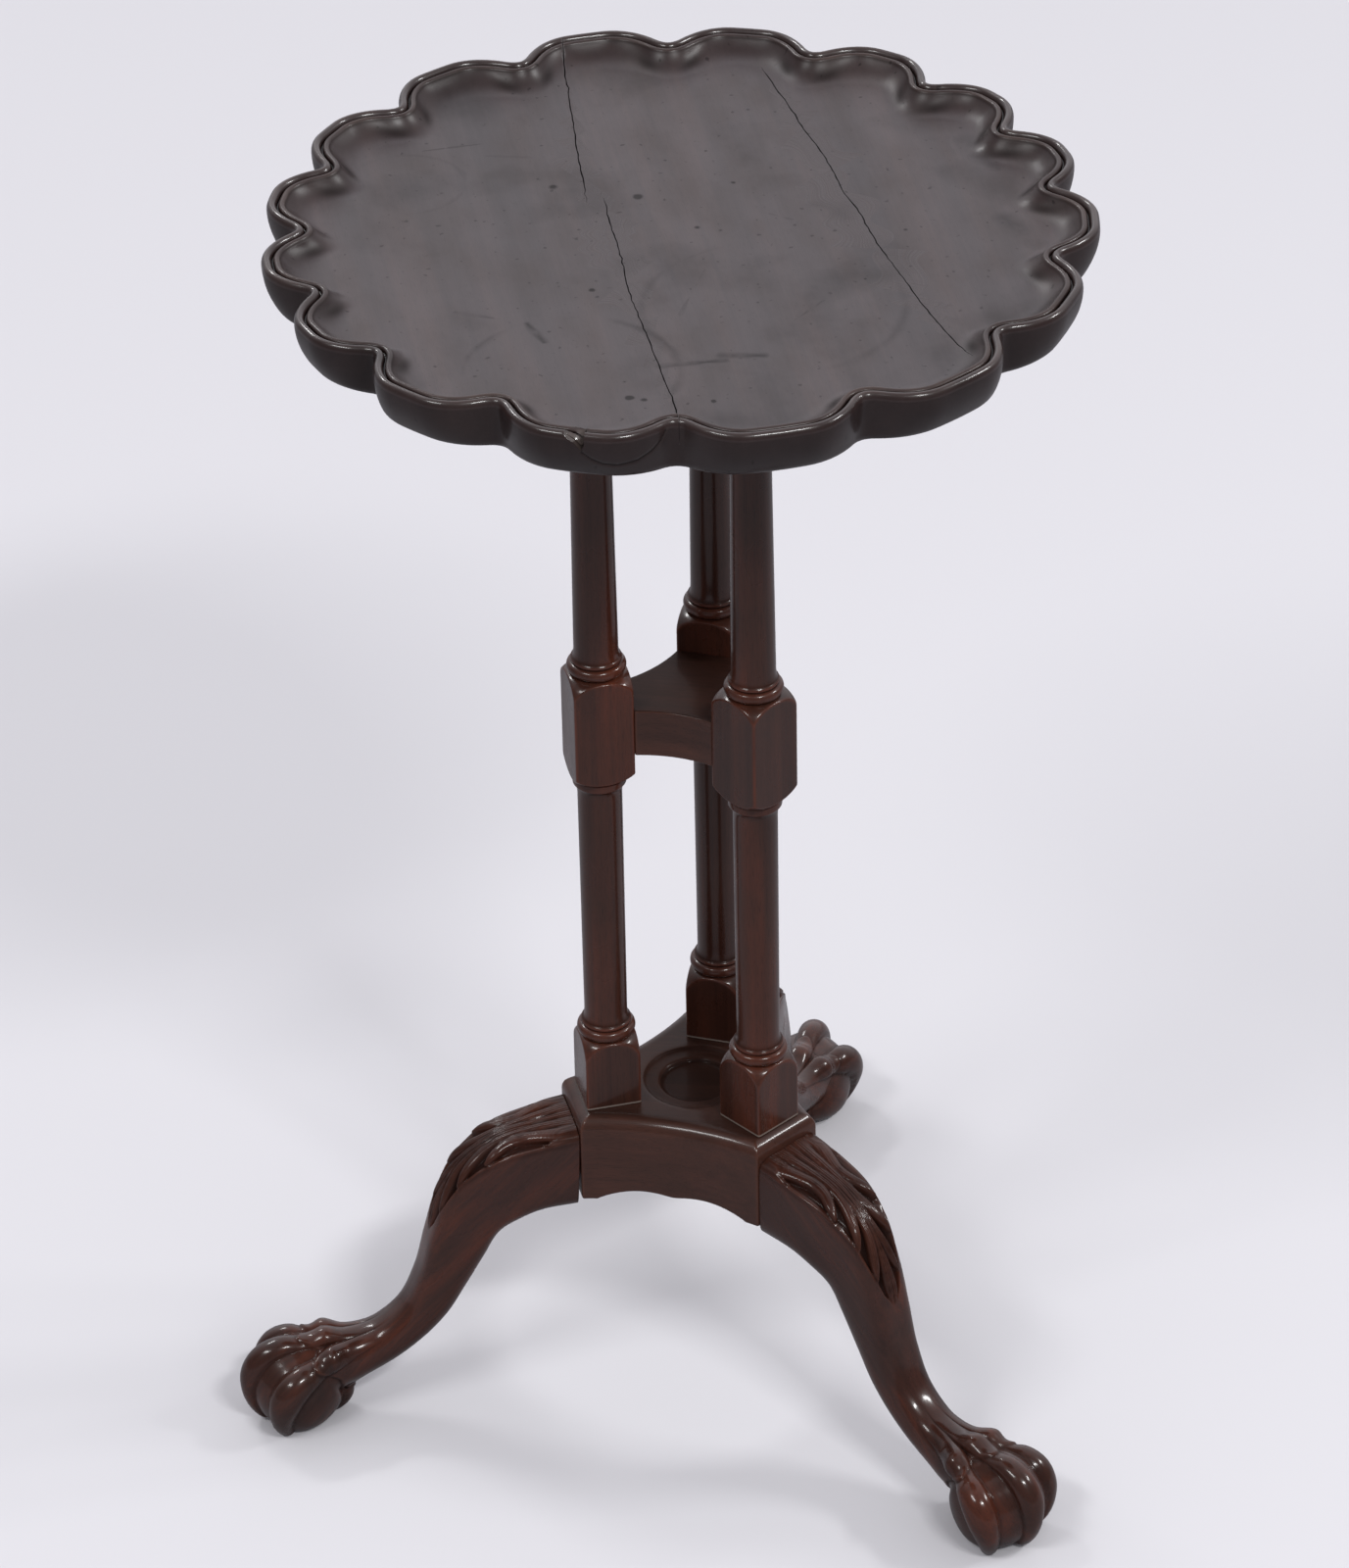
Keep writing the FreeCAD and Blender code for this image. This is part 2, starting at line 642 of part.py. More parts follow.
def leg(place):
    corner = sheet.plinth_corner
    reach = sheet.foot_reach - corner
    height = apron_top.value - sheet.leg_drop
    wires = []
    for upper_out, upper_up, lower_out, lower_up, wide, squareness in LEG_STATIONS:
        upper = Vector(corner + upper_out * reach, 0, upper_up * height)
        low = height - sheet.leg_joint_height if lower_up is None else lower_up * height
        lower = Vector(corner + lower_out * reach, 0, low)
        wires.append(leg_section(upper, lower, wide * sheet.leg_width, squareness))
    shape = Part.makeLoft(wires, True, False)
    sideways = Vector(0, 1, 0)
    foot = [Part.makeSphere(sheet.ball_radius, Vector(sheet.foot_reach, 0, sheet.ball_height), sideways)]
    for direction, start in (
        (-sheet.claw_spread, SIDE_CLAW_START),
        (0, MIDDLE_CLAW_START),
        (sheet.claw_spread, SIDE_CLAW_START),
        (180, REAR_CLAW_START),
    ):
        foot.append(claw(direction, start, CLAW_END))
    shape = shape.fuse(foot)
    span = 4 * sheet.foot_reach
    shape = shape.cut(Part.makeBox(span, span, span, Vector(-span / 2, -span / 2, -span)))
    depth = sheet.leg_dowel_length / 2 + sheet.end_room
    for level in (sheet.low_dowel, sheet.high_dowel):
        mouth = Vector(corner, 0, level)
        radius = sheet.leg_dowel_dia / 2 + sheet.glue_gap
        shape = shape.cut(Part.makeCylinder(radius, depth, mouth, Vector(1, 0, 0)))
    feature = carved(f"leg_{place}", shape.Solids[0] if len(shape.Solids) == 1 else shape)
    feature.Placement = Placement(Vector(0, 0, 0), Rotation(Vector(0, 0, 1), CORNERS[place]))
    return feature


pieces = [table_top(), top_platform(), platform_screws(), mid_shelf(), plinth()]
pieces += [column(place) for place in CORNERS]
pieces += [leg(place) for place in CORNERS]
pieces.append(radial_dowels("shelf_dowels", cell("shelf_dowel_dia"), cell("shelf_dowel_length"),
                            shelf_corner, [shelf_middle]))
pieces.append(radial_dowels("leg_dowels", cell("leg_dowel_dia"), cell("leg_dowel_length"),
                            cell("plinth_corner"), [cell("low_dowel"), cell("high_dowel")]))
doc.recompute()

for feature in doc.Objects:
    if "Invalid" in feature.State or "Error" in feature.State:
        raise RuntimeError(f"{feature.Name} failed: {feature.State}")
for piece in pieces:
    if piece.Shape.isNull() or not piece.Shape.isValid() or not piece.Shape.Solids:
        raise RuntimeError(f"{piece.Label} has no valid solid")

os.makedirs("parts", exist_ok=True)
for piece in pieces:
    piece.Shape.exportStep(f"parts/{piece.Label}.step")
    box = piece.Shape.BoundBox
    print(f"{piece.Label}: {len(piece.Shape.Solids)} solid(s), {piece.Shape.Volume / 1000:.1f} cm3, "
          f"z {box.ZMin:.1f} to {box.ZMax:.1f}")
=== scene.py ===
# Gueridon: the carved, turned and polished surfaces of a piecrust table, with its camera and studio.
# Lengths are millimetres until a mesh is made. +Z is up, and the rear leg points along +Y.
import math

import bpy
import numpy as np
from mathutils import Matrix, Vector


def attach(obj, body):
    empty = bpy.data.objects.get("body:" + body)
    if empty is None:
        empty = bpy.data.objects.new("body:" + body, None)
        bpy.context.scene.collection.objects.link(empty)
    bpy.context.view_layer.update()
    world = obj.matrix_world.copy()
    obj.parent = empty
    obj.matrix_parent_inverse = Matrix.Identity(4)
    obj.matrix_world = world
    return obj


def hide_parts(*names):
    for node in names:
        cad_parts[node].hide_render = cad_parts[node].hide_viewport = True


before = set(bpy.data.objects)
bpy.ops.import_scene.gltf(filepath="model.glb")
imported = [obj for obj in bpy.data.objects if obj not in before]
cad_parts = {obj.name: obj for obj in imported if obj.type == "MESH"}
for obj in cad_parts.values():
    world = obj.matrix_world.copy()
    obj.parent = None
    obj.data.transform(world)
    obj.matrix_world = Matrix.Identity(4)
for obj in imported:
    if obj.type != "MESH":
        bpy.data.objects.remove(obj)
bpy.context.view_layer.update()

MM = 0.001
CORNERS = {"rear": 90.0, "left": 210.0, "right": 330.0}


# Curves and fields on grids

def smooth_step(low, high, value):
    """0 below low, 1 above high, and an S-shaped rise between them."""
    share = np.clip((value - low) / (high - low), 0.0, 1.0)
    return share * share * (3.0 - 2.0 * share)


def hump(distance, half_width):
    """A round hump: 1 in the middle, falling as a cosine to 0 at the half width."""
    return 0.5 + 0.5 * np.cos(math.pi * np.clip(distance / half_width, -1.0, 1.0))


def through(keys, values, at):
    """A smooth curve through the values at the keys, cubic between each pair, read at the given places."""
    keys = np.asarray(keys, float)
    values = np.asarray(values, float)
    at = np.clip(np.asarray(at, float), keys[0], keys[-1])
    slopes = np.gradient(values, keys, axis=0)
    cell = np.clip(np.searchsorted(keys, at) - 1, 0, len(keys) - 2)
    step = keys[cell + 1] - keys[cell]
    share = (at - keys[cell]) / step
    if values.ndim > 1:
        step = step[..., None]
        share = share[..., None]
    square = share * share
    cube = square * share
    return ((2 * cube - 3 * square + 1) * values[cell] + (cube - 2 * square + share) * step * slopes[cell]
            + (3 * square - 2 * cube) * values[cell + 1] + (cube - square) * step * slopes[cell + 1])


def unit(vectors):
    """Vectors in the same directions, each one long."""
    return vectors / np.linalg.norm(vectors, axis=-1, keepdims=True)


def lengths_along(points):
    """Length of a line from its first point to each of its points."""
    return np.concatenate([[0], np.cumsum(np.linalg.norm(np.diff(points, axis=0), axis=1))])


def soft_min(one, two, rounding):
    """The smaller of two lengths, with the corner between them rounded over a length."""
    near = np.clip(rounding - np.abs(one - two), 0.0, None) / rounding
    return np.minimum(one, two) - near * near * rounding / 4


def blurred(field, passes):
    """A field on rings, averaged with its neighbours along and around, the given number of times."""
    for _ in range(passes):
        field = (np.roll(field, 1, 1) + 2 * field + np.roll(field, -1, 1)) / 4
        padded = np.concatenate([field[:1], field, field[-1:]])
        field = (padded[:-2] + 2 * field + padded[2:]) / 4
    return field


def facing(rings):
    """1 or -1: which way round the rings have to be read for their faces to point outwards."""
    here = rings[:-1]
    beside = np.roll(rings, -1, 1)[:-1]
    above = rings[1:]
    middle = rings.mean((0, 1))
    swept = (np.cross(here - middle, beside - middle) * (above - middle)).sum()
    return 1.0 if swept > 0 else -1.0


def outward(rings):
    """Unit normals of a skin of rings, from the differences along and around it, pointing out of it."""
    around = np.roll(rings, -1, 1) - np.roll(rings, 1, 1)
    along = np.gradient(rings, axis=0)
    normal = np.cross(around, along)
    normal /= np.maximum(np.linalg.norm(normal, axis=-1, keepdims=True), 1e-9)
    return normal * facing(rings)


def bending(rings):
    """How sharply the surface bends at each point, per millimetre: above 0 on edges, below 0 in hollows."""
    normal = outward(rings)
    around = np.roll(rings, -1, 1) - np.roll(rings, 1, 1)
    around_twice = np.roll(rings, -1, 1) + np.roll(rings, 1, 1) - 2 * rings
    along = np.ones_like(rings)
    along_twice = np.zeros_like(rings)
    along[1:-1] = rings[2:] - rings[:-2]
    along_twice[1:-1] = rings[2:] + rings[:-2] - 2 * rings[1:-1]
    bend = np.zeros(rings.shape[:2])
    for twice, first in ((around_twice, around), (along_twice, along)):
        length = np.maximum((first * first).sum(-1) / 4, 0.01)
        bend -= (twice * normal).sum(-1) / length
    return bend


def turned_by(points, degrees):
    """Points turned about the table's axis."""
    cosine = math.cos(math.radians(degrees))
    sine = math.sin(math.radians(degrees))
    x, y, z = points[..., 0], points[..., 1], points[..., 2]
    return np.stack([x * cosine - y * sine, x * sine + y * cosine, z], -1)


# Pieces

def on_points(field):
    """A field on rings as one row for each point of their skin, the two end points included."""
    flat = field.reshape(-1, *field.shape[2:])
    return np.concatenate([flat, field[:1].mean(1), field[-1:].mean(1)])


def skin(rings):
    """Quads and end triangles of a closed skin over rings, an array of rows of closed loops. The first and
    the last loop are closed by a fan round their middle."""
    rows, columns = rings.shape[:2]
    here = np.arange(rows * columns).reshape(rows, columns)
    beside = np.roll(here, -1, axis=1)
    quads = np.stack([here[:-1], beside[:-1], beside[1:], here[1:]], -1).reshape(-1, 4)
    first = np.full(columns, rows * columns)
    fans = np.concatenate([np.stack([first, beside[0], here[0]], -1),
                           np.stack([first + 1, here[-1], beside[-1]], -1)])
    if facing(rings) < 0:
        quads = quads[:, ::-1]
        fans = fans[:, ::-1]
    return quads, fans


def grain_frame(along):
    """Three unit directions in wood: along the grain and twice across it."""
    along = unit(np.asarray(along, float))
    helper = np.array([0.0, 0.0, 1.0]) if abs(along[2]) < 0.9 else np.array([1.0, 0.0, 0.0])
    across = unit(np.cross(helper, along))
    return np.stack([along, across, np.cross(along, across)])


def new_mesh(name, rings, finish):
    """A smooth mesh in metres from rings in millimetres."""
    quads, fans = skin(rings)
    mesh = bpy.data.meshes.new(name)
    mesh.from_pydata((on_points(rings) * MM).tolist(), [], quads.tolist() + fans.tolist())
    mesh.polygons.foreach_set("use_smooth", np.ones(len(mesh.polygons), bool))
    mesh.materials.append(finish)
    return mesh


def new_object(name, data):
    """An object in the scene for a mesh, a lamp or a camera."""
    made = bpy.data.objects.new(name, data)
    bpy.context.scene.collection.objects.link(made)
    return made


def add_piece(name, rings, finish, node, grain, shift=0.0, dirt_and_shade=0.0, bare=0.0, aged_and_shade=0.0):
    """A piece of wood from rings, in place of a node. Its mesh carries the grain's own coordinates, worn
    edges, painted shade and dirt in hollows, bare wood and darkened polish as attributes for the finish."""
    mesh = new_mesh(name, rings, finish)
    bend = bending(rings)
    worn = blurred(smooth_step(0.12, 0.7, bend), 2)
    # Painted shade and wax: concave places are darkened, and the given field of dirt and painted shade is
    # added.
    hollow = np.maximum(blurred(smooth_step(0.06, 0.5, -bend), 2), dirt_and_shade)
    for title, field in (("worn", worn), ("hollow", hollow), ("bare", bare), ("aged_and_shade", aged_and_shade)):
        layer = mesh.attributes.new(title, "FLOAT", "POINT")
        values = on_points(np.broadcast_to(field, rings.shape[:2]))
        layer.data.foreach_set("value", values.astype(np.float32))
    layer = mesh.attributes.new("grain", "FLOAT_VECTOR", "POINT")
    coordinates = (on_points(rings) * MM) @ grain_frame(grain).T + shift
    layer.data.foreach_set("vector", coordinates.astype(np.float32).ravel())
    piece = new_object(name, mesh)
    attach(piece, "root")
    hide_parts(node)
    return piece


# Finishes

def linear(hex_text):
    """An sRGB hex colour as the linear colour that a socket takes."""
    values = [int(hex_text[k:k + 2], 16) / 255 for k in (1, 3, 5)]
    return tuple(v / 12.92 if v <= 0.04045 else ((v + 0.055) / 1.055) ** 2.4 for v in values) + (1.0,)


def add_node(tree, kind, inputs=(), output=0, **settings):
    """Adds a node with its settings and gives one of its outputs. Inputs are values, or sockets to link, in
    the node's own order or under their names or numbers."""
    made = tree.nodes.new("ShaderNode" + kind)
    for name, value in settings.items():
        setattr(made, name, value)
    for key, value in (inputs if isinstance(inputs, dict) else dict(enumerate(inputs))).items():
        if isinstance(value, bpy.types.NodeSocket):
            tree.links.new(value, made.inputs[key])
        else:
            made.inputs[key].default_value = value
    return made.outputs[output]


def new_finish(name, **values):
    """A material with its node tree and its shader. The values are the shader's, with _ for a space."""
    material = bpy.data.materials.new(name)
    material.use_nodes = True
    shader = material.node_tree.nodes["Principled BSDF"]
    for title, value in values.items():
        shader.inputs[title.replace("_", " ")].default_value = value
    return material, material.node_tree, shader


def wood_noise(tree, place, length, width, detail=3.0):
    """Noise drawn out along the grain: the length and width of its marks, in millimetres."""
    scale = (1 / (length * MM), 1 / (width * MM), 1 / (width * MM))
    stretched = add_node(tree, "Mapping", {"Vector": place, "Scale": scale})
    return add_node(tree, "TexNoise", {"Vector": stretched, "Scale": 1.0, "Detail": detail})


def mahogany(name, dark, middle, warm, worn, roughness, coat, specular, marks=None):
    """Old mahogany under shellac polish. The eye sees a dark red-brown with long soft streaks along the
    grain, short dark pores, blacker wax and painted shade in the hollows and redder, rubbed wood on the
    edges."""
    material, tree, shader = new_finish(name, Coat_Roughness=0.13)
    place = add_node(tree, "Attribute", output="Vector", attribute_name="grain")
    edge, hollow, bared, aged_and_shade = (add_node(tree, "Attribute", output="Fac", attribute_name=title)
                                 for title in ("worn", "hollow", "bare", "aged_and_shade"))
    stain = marks(tree) if marks else None
    figure = wood_noise(tree, place, 240, 22)
    streaks = wood_noise(tree, place, 150, 2.6, 4.0)
    # Real pores are about 0.2 mm wide; they are drawn 0.4 mm wide so that they show.
    pores = wood_noise(tree, place, 7, 0.4, 2.0)
    blotch = wood_noise(tree, place, 40, 24, 4.0)

    tone = add_node(tree, "Mix", {0: 0.3, 2: figure, 3: streaks}, data_type="FLOAT")
    colour = add_node(tree, "ValToRGB", (tone,))
    steps = colour.node.color_ramp.elements
    steps[0].position = 0.3
    steps[0].color = linear(dark)
    steps[1].position = 0.72
    steps[1].color = linear(warm)
    steps.new(0.5).color = linear(middle)

    # Over the tone: yellowed patches of polish, pores, rubbed edges, darkened polish with painted shade,
    # stains, wax with painted shade, dust.
    patina = add_node(tree, "MapRange", (blotch, 0.45, 0.75, 0.0, 0.4))
    in_pores = add_node(tree, "MapRange", (pores, 0.55, 0.68, 0.0, 0.35))
    uneven = add_node(tree, "MapRange", (blotch, 0.35, 0.65, 0.1, 0.6))
    rubbed = add_node(tree, "Math", (edge, uneven), operation="MULTIPLY")
    # The darkened polish carries painted shade in the hollow of the top, and the wax layer carries painted
    # shade in every hollow.
    clouded = add_node(tree, "MapRange", (blotch, 0.35, 0.65, 1.0, 0.75))
    darkened = add_node(tree, "Math", (aged_and_shade, clouded), operation="MULTIPLY")
    waxed_and_shaded = add_node(tree, "Math", (hollow, 0.85), operation="MULTIPLY")
    layers = [(patina, "#2b1c15"), (in_pores, "#100807"), (rubbed, worn), (darkened, "#22110b"),
              (stain, "#0e0908"), (waxed_and_shaded, "#0a0605"), (bared, "#857a72")]
    for share, over in layers:
        if share is not None:
            colour = add_node(tree, "Mix", {0: share, 6: colour, 7: linear(over)}, 2, data_type="RGBA")

    # A stain or a hollow has lost its sheen as well as its colour.
    shine = add_node(tree, "Math", (aged_and_shade, -0.7 * specular, specular), operation="MULTIPLY_ADD")
    for share, left in ((stain, 0.25), (hollow, 0.1)):
        if share is not None:
            kept = add_node(tree, "MapRange", (share, 0.0, 1.0, 1.0, left))
            shine = add_node(tree, "Math", (shine, kept), operation="MULTIPLY")
    gloss = add_node(tree, "MapRange", (blotch, 0.3, 0.7, roughness - 0.05, roughness + 0.08))
    for share, change in ((aged_and_shade, -0.14), (hollow, 0.2), (bared, 0.3)):
        gloss = add_node(tree, "Math", (share, change, gloss), operation="MULTIPLY_ADD")

    # The polish lies a little uneven over the pores, which breaks the highlights.
    relief = add_node(tree, "Math", (blotch, 2.0, pores), operation="MULTIPLY_ADD")
    bump = add_node(tree, "Bump", {"Strength": 0.15, "Distance": 0.25 * MM, "Height": relief})
    # Dust and old wax dull the varnish in the hollows; the rim of the top keeps more of it than the flat.
    dusty = add_node(tree, "MapRange", (hollow, 0.0, 0.7, coat, 0.15 * coat))
    on_rim = add_node(tree, "MapRange", (aged_and_shade, 0.58, 0.7, 0.0, 0.6))
    varnish = add_node(tree, "Math", (dusty, on_rim), operation="MAXIMUM")
    for title, value in (("Base Color", colour), ("Roughness", gloss), ("Specular IOR Level", shine),
                         ("Coat Weight", varnish), ("Normal", bump)):
        tree.links.new(value, shader.inputs[title])
    return material


# Straight marks on the flat: two ends, width and strength.
SCRATCHES = [
    ((20, -22), (20, -70), 0.7, 0.35), ((-150, 55), (-106, 79), 0.7, 0.5),
    ((-118, 58), (-96, 62), 0.6, 0.3), ((-86, -95), (-66, -96), 1.0, 0.45),
    ((84, -40), (73, -68), 0.9, 0.5), ((-49, -97), (-36, -112), 2.8, 0.55),
    ((53, -107), (24, -120), 2.6, 0.55), ((70, -98), (50, -103), 3.4, 0.5),
    ((36, 36), (48, 33), 1.0, 0.25), ((-120, -150), (-84, -168), 9.0, 0.3),
    ((150, 60), (171, 40), 9.0, 0.3), ((112, 132), (132, 108), 9.0, 0.3),
]
# Dark spots: middle and radius.
SPOTS = [
    (-76, 36, 2.4), (-32, 36, 2.2), (5, 14, 1.6), (17, 14, 1.5), (18, -152, 1.5), (26, -152, 1.3),
    (12, -138, 1.2), (105, 37, 1.6), (-28, -58, 1.2), (98, -15, 1.0), (58, -145, 1.1), (-12, 90, 1.0),
    (10, 62, 0.9),
]
# Parts of rings left by wet glasses: middle, radius, width and strength.
GLASS_RINGS = [(-15, -136, 52, 3.0, 0.6), (62, -52, 64, 3.5, 0.3), (-148, 20, 30, 1.6, 0.2)]
# How many marks of each kind lie on a metre: wandering gaps about 110 mm long, smears of 60 mm, ragged edges
# of 18 mm and specks of 4 mm.
GAPS_PER_METRE = 9.0
SMEARS_PER_METRE = 16.0
RAGS_PER_METRE = 55.0
SPECKS_PER_METRE = 230.0


def distance_to_line(tree, place, start, end):
    """Distance from a point to a straight mark between two ends, in metres."""
    start, end = np.array(start + (0,)) * MM, np.array(end + (0,)) * MM
    run = end - start
    per_run = tuple(run / run.dot(run))
    from_start = add_node(tree, "VectorMath", (place, tuple(start)), operation="SUBTRACT")
    along = add_node(tree, "VectorMath", (from_start, per_run), "Value", operation="DOT_PRODUCT")
    held = add_node(tree, "MapRange", (along, 0.0, 1.0, 0.0, 1.0))
    nearest = add_node(tree, "VectorMath", {0: tuple(run), "Scale": held}, operation="SCALE")
    return add_node(tree, "VectorMath", (from_start, nearest), "Value", operation="DISTANCE")


def top_marks(tree):
    """Wear on the flat, from 0 to 1: fine scratches, dark spots, specks of old polish, dull smears and parts
    of wet rings. The darkest mark is kept at each place."""
    place = add_node(tree, "TexCoord", output="Object")
    flat = add_node(tree, "VectorMath", (place, (1, 1, 0)), operation="MULTIPLY")
    ragged, wander, specks, smears = (
        add_node(tree, "TexNoise", {"Vector": flat, "Scale": scale, "Detail": detail})
        for scale, detail in ((RAGS_PER_METRE, 5.0), (GAPS_PER_METRE, 3.0), (SPECKS_PER_METRE, 1.0),
                              (SMEARS_PER_METRE, 7.0)))
    shift = add_node(tree, "MapRange", (ragged, 0.3, 0.7, -1.6 * MM, 1.6 * MM))
    patchy = add_node(tree, "MapRange", (ragged, 0.38, 0.6, 0.25, 1.0))
    broken = add_node(tree, "MapRange", (wander, 0.47, 0.6, 0.0, 1.0))
    marks = [add_node(tree, "MapRange", (specks, 0.7, 0.76, 0.0, 0.55)),
             add_node(tree, "MapRange", (smears, 0.52, 0.75, 0.0, 0.45))]
    for start, end, width, strength in SCRATCHES:
        away = distance_to_line(tree, flat, start, end)
        away = add_node(tree, "Math", (away, shift), operation="ADD")
        mark = add_node(tree, "MapRange", (away, width * 0.25 * MM, width * MM, 1.5 * strength, 0.0))
        marks.append(add_node(tree, "Math", (mark, patchy), operation="MULTIPLY"))
    for x, y, radius in SPOTS:
        away = add_node(tree, "VectorMath", (flat, (x * MM, y * MM, 0)), "Value", operation="DISTANCE")
        away = add_node(tree, "Math", (away, shift), operation="ADD")
        marks.append(add_node(tree, "MapRange", (away, 0.6 * radius * MM, 1.3 * radius * MM, 0.85, 0.0)))
    for x, y, radius, width, strength in GLASS_RINGS:
        away = add_node(tree, "VectorMath", (flat, (x * MM, y * MM, 0)), "Value", operation="DISTANCE")
        away = add_node(tree, "Math", (away, radius * MM), operation="SUBTRACT")
        away = add_node(tree, "Math", (away,), operation="ABSOLUTE")
        away = add_node(tree, "Math", (away, shift), operation="ADD")
        ring = add_node(tree, "MapRange", (away, 0.0, width * MM, strength, 0.0))
        marks.append(add_node(tree, "Math", (ring, broken), operation="MULTIPLY"))
    dark = marks[0]
    for mark in marks[1:]:
        dark = add_node(tree, "Math", (dark, mark), operation="MAXIMUM")
    return dark


# Colours of the wood from dark to warm and where it is rubbed, then roughness, varnish and sheen.
column_finish = mahogany("turned_mahogany", "#27140f", "#3b2119", "#52291c", "#6b3626", 0.28, 0.5, 0.2)
plinth_finish = mahogany("joinery_mahogany", "#2f1b15", "#40261e", "#4e2e23", "#523024", 0.3, 0.5, 0.16)
leg_finish = mahogany("carved_mahogany", "#24130e", "#3a2019", "#582b1c", "#5e3222", 0.26, 0.6, 0.16)
top_finish = mahogany("scuffed_mahogany_board", "#271e21", "#33292b", "#3f3232", "#4d3931", 0.43, 0.0, 0.74,
                      top_marks)
# Painted shade and dirt deep in an open crack: nearly black, without sheen.
crack_finish, _, _ = new_finish("crack_shade_and_dirt", Base_Color=linear("#0d0908"), Roughness=0.9)
# Plain hardwood without polish: pale and matt.
dowel_finish, _, _ = new_finish("plain_hardwood_dowel", Base_Color=linear("#b58e63"), Roughness=0.7)
# Old forged iron: dark grey with a dull metal sheen.
screw_finish, _, _ = new_finish("old_screw_iron", Base_Color=linear("#3a3532"), Metallic=1.0, Roughness=0.55)


# Table top

LOBES = 16
FIRST_NOTCH = 108.7
CROWDING = 5.2
CROWDING_TURN = 31.0
SWING = 4.7
SWING_TURN = -24.4
LOBE_LENGTH = 78.0
LOBE_RADIUS = 206.5
NOTCH_RADIUS = 189.5
# A flank's length, as a length and a share of half its lobe, and the share of it that turns out of the notch.
FLANK_LENGTH = 18.0
FLANK_SHARE = 0.35
FLANK_TURN = 0.3
RIM_TOP = 700.0
RIM_SHOULDER = 696.0
DISH_FLOOR = 690.0
TOP_UNDERSIDE = 672.0
SIDE_TUCK = 9.0
NOTCH_TUCK = 2.0
LOWER_ROUND = 4.5
OUTER_BEAD_HALF = 2.6
OUTER_BEAD_RISE = 4.0
QUIRK_INSET = 5.6
# The quirk between the beads: places inside the rim's edge, and heights.
QUIRK = ((5.1, 697.4), (5.4, 696.7), (5.8, 696.7), (6.05, 697.3))
INNER_BEAD_INSET = 7.75
INNER_BEAD_HALF = 1.75
INNER_BEAD_FOOT = 697.5
INNER_BEAD_RISE = 1.7
BRINK_INSET = 9.9
HOLLOW_RISE = 7.4
HEM_RADIUS = 165.0
HEM_SWELL = 17.0
LOBE_COLUMNS = 44
BOARD_GRAIN = (0.44, -0.9, 0.0)
CHIP_ANGLE = math.radians(272.7)
CRACK_WIDTH = 0.6
CRACK_DEPTH = 3.5

# Shrinkage cracks along the grain, as points on the flat.
CRACKS = [
    [(-111, 171), (-109, 165), (-97, 133), (-84, 99), (-74, 72), (-62, 43), (-55, 25)],
    [(-48, 31), (-39, 10), (-30, -9), (-20, -31), (-11, -53), (2, -78), (15, -103), (30, -132), (44, -160),
     (52, -184)],
    [(-8, 182), (5, 162), (18, 143), (30, 124), (42, 107), (58, 81), (66, 66), (75, 54), (87, 34), (98, 16),
     (112, -4), (124, -22), (148, -54), (168, -78)],
]


def lobe_places(number):
    """For places counted in lobes, the distance from the nearest notch and half the length of the lobe."""
    even = np.radians(FIRST_NOTCH + number * 360.0 / LOBES)
    crowded = CROWDING * np.sin(even - math.radians(CROWDING_TURN))
    swung = 2 * SWING * np.sin(2 * even - math.radians(SWING_TURN))
    half = LOBE_LENGTH / 2 * (1 - np.radians(crowded + swung))
    return (1 - np.abs(1 - 2 * (number % 1.0))) * half, half


def lobe_swell(number):
    """How far the rim swells at a place counted in lobes: 0 in a notch, then two parabolas along the flank, a
    tight one out of the notch and a wide one that eases onto the lobe's front, where it is 1."""
    gap, half = lobe_places(number)
    rise = np.clip(gap / (FLANK_LENGTH + FLANK_SHARE * half), 0.0, 1.0)
    return np.where(rise < FLANK_TURN, rise ** 2 / FLANK_TURN, 1 - (1 - rise) ** 2 / (1 - FLANK_TURN))


def lobe_direction(number):
    """Direction, in radians, of a place counted in lobes. The carver spaced the notches a little unevenly."""
    even = FIRST_NOTCH + number * 360.0 / LOBES
    crowded = CROWDING * np.cos(np.radians(even - CROWDING_TURN))
    return np.radians(even + crowded + SWING * np.cos(np.radians(2 * even - SWING_TURN)))


def rim_places():
    """Places round the rim counted in lobes, closer together where the rim is chipped."""
    even = np.arange(LOBES * LOBE_COLUMNS) / LOBE_COLUMNS
    chip = np.interp(CHIP_ANGLE, lobe_direction(even), even)
    close = chip + np.arange(-12.0, 42.0, 0.6) / LOBE_LENGTH
    return np.sort(np.concatenate([even[(even < close[0]) | (even > close[-1])], close]))


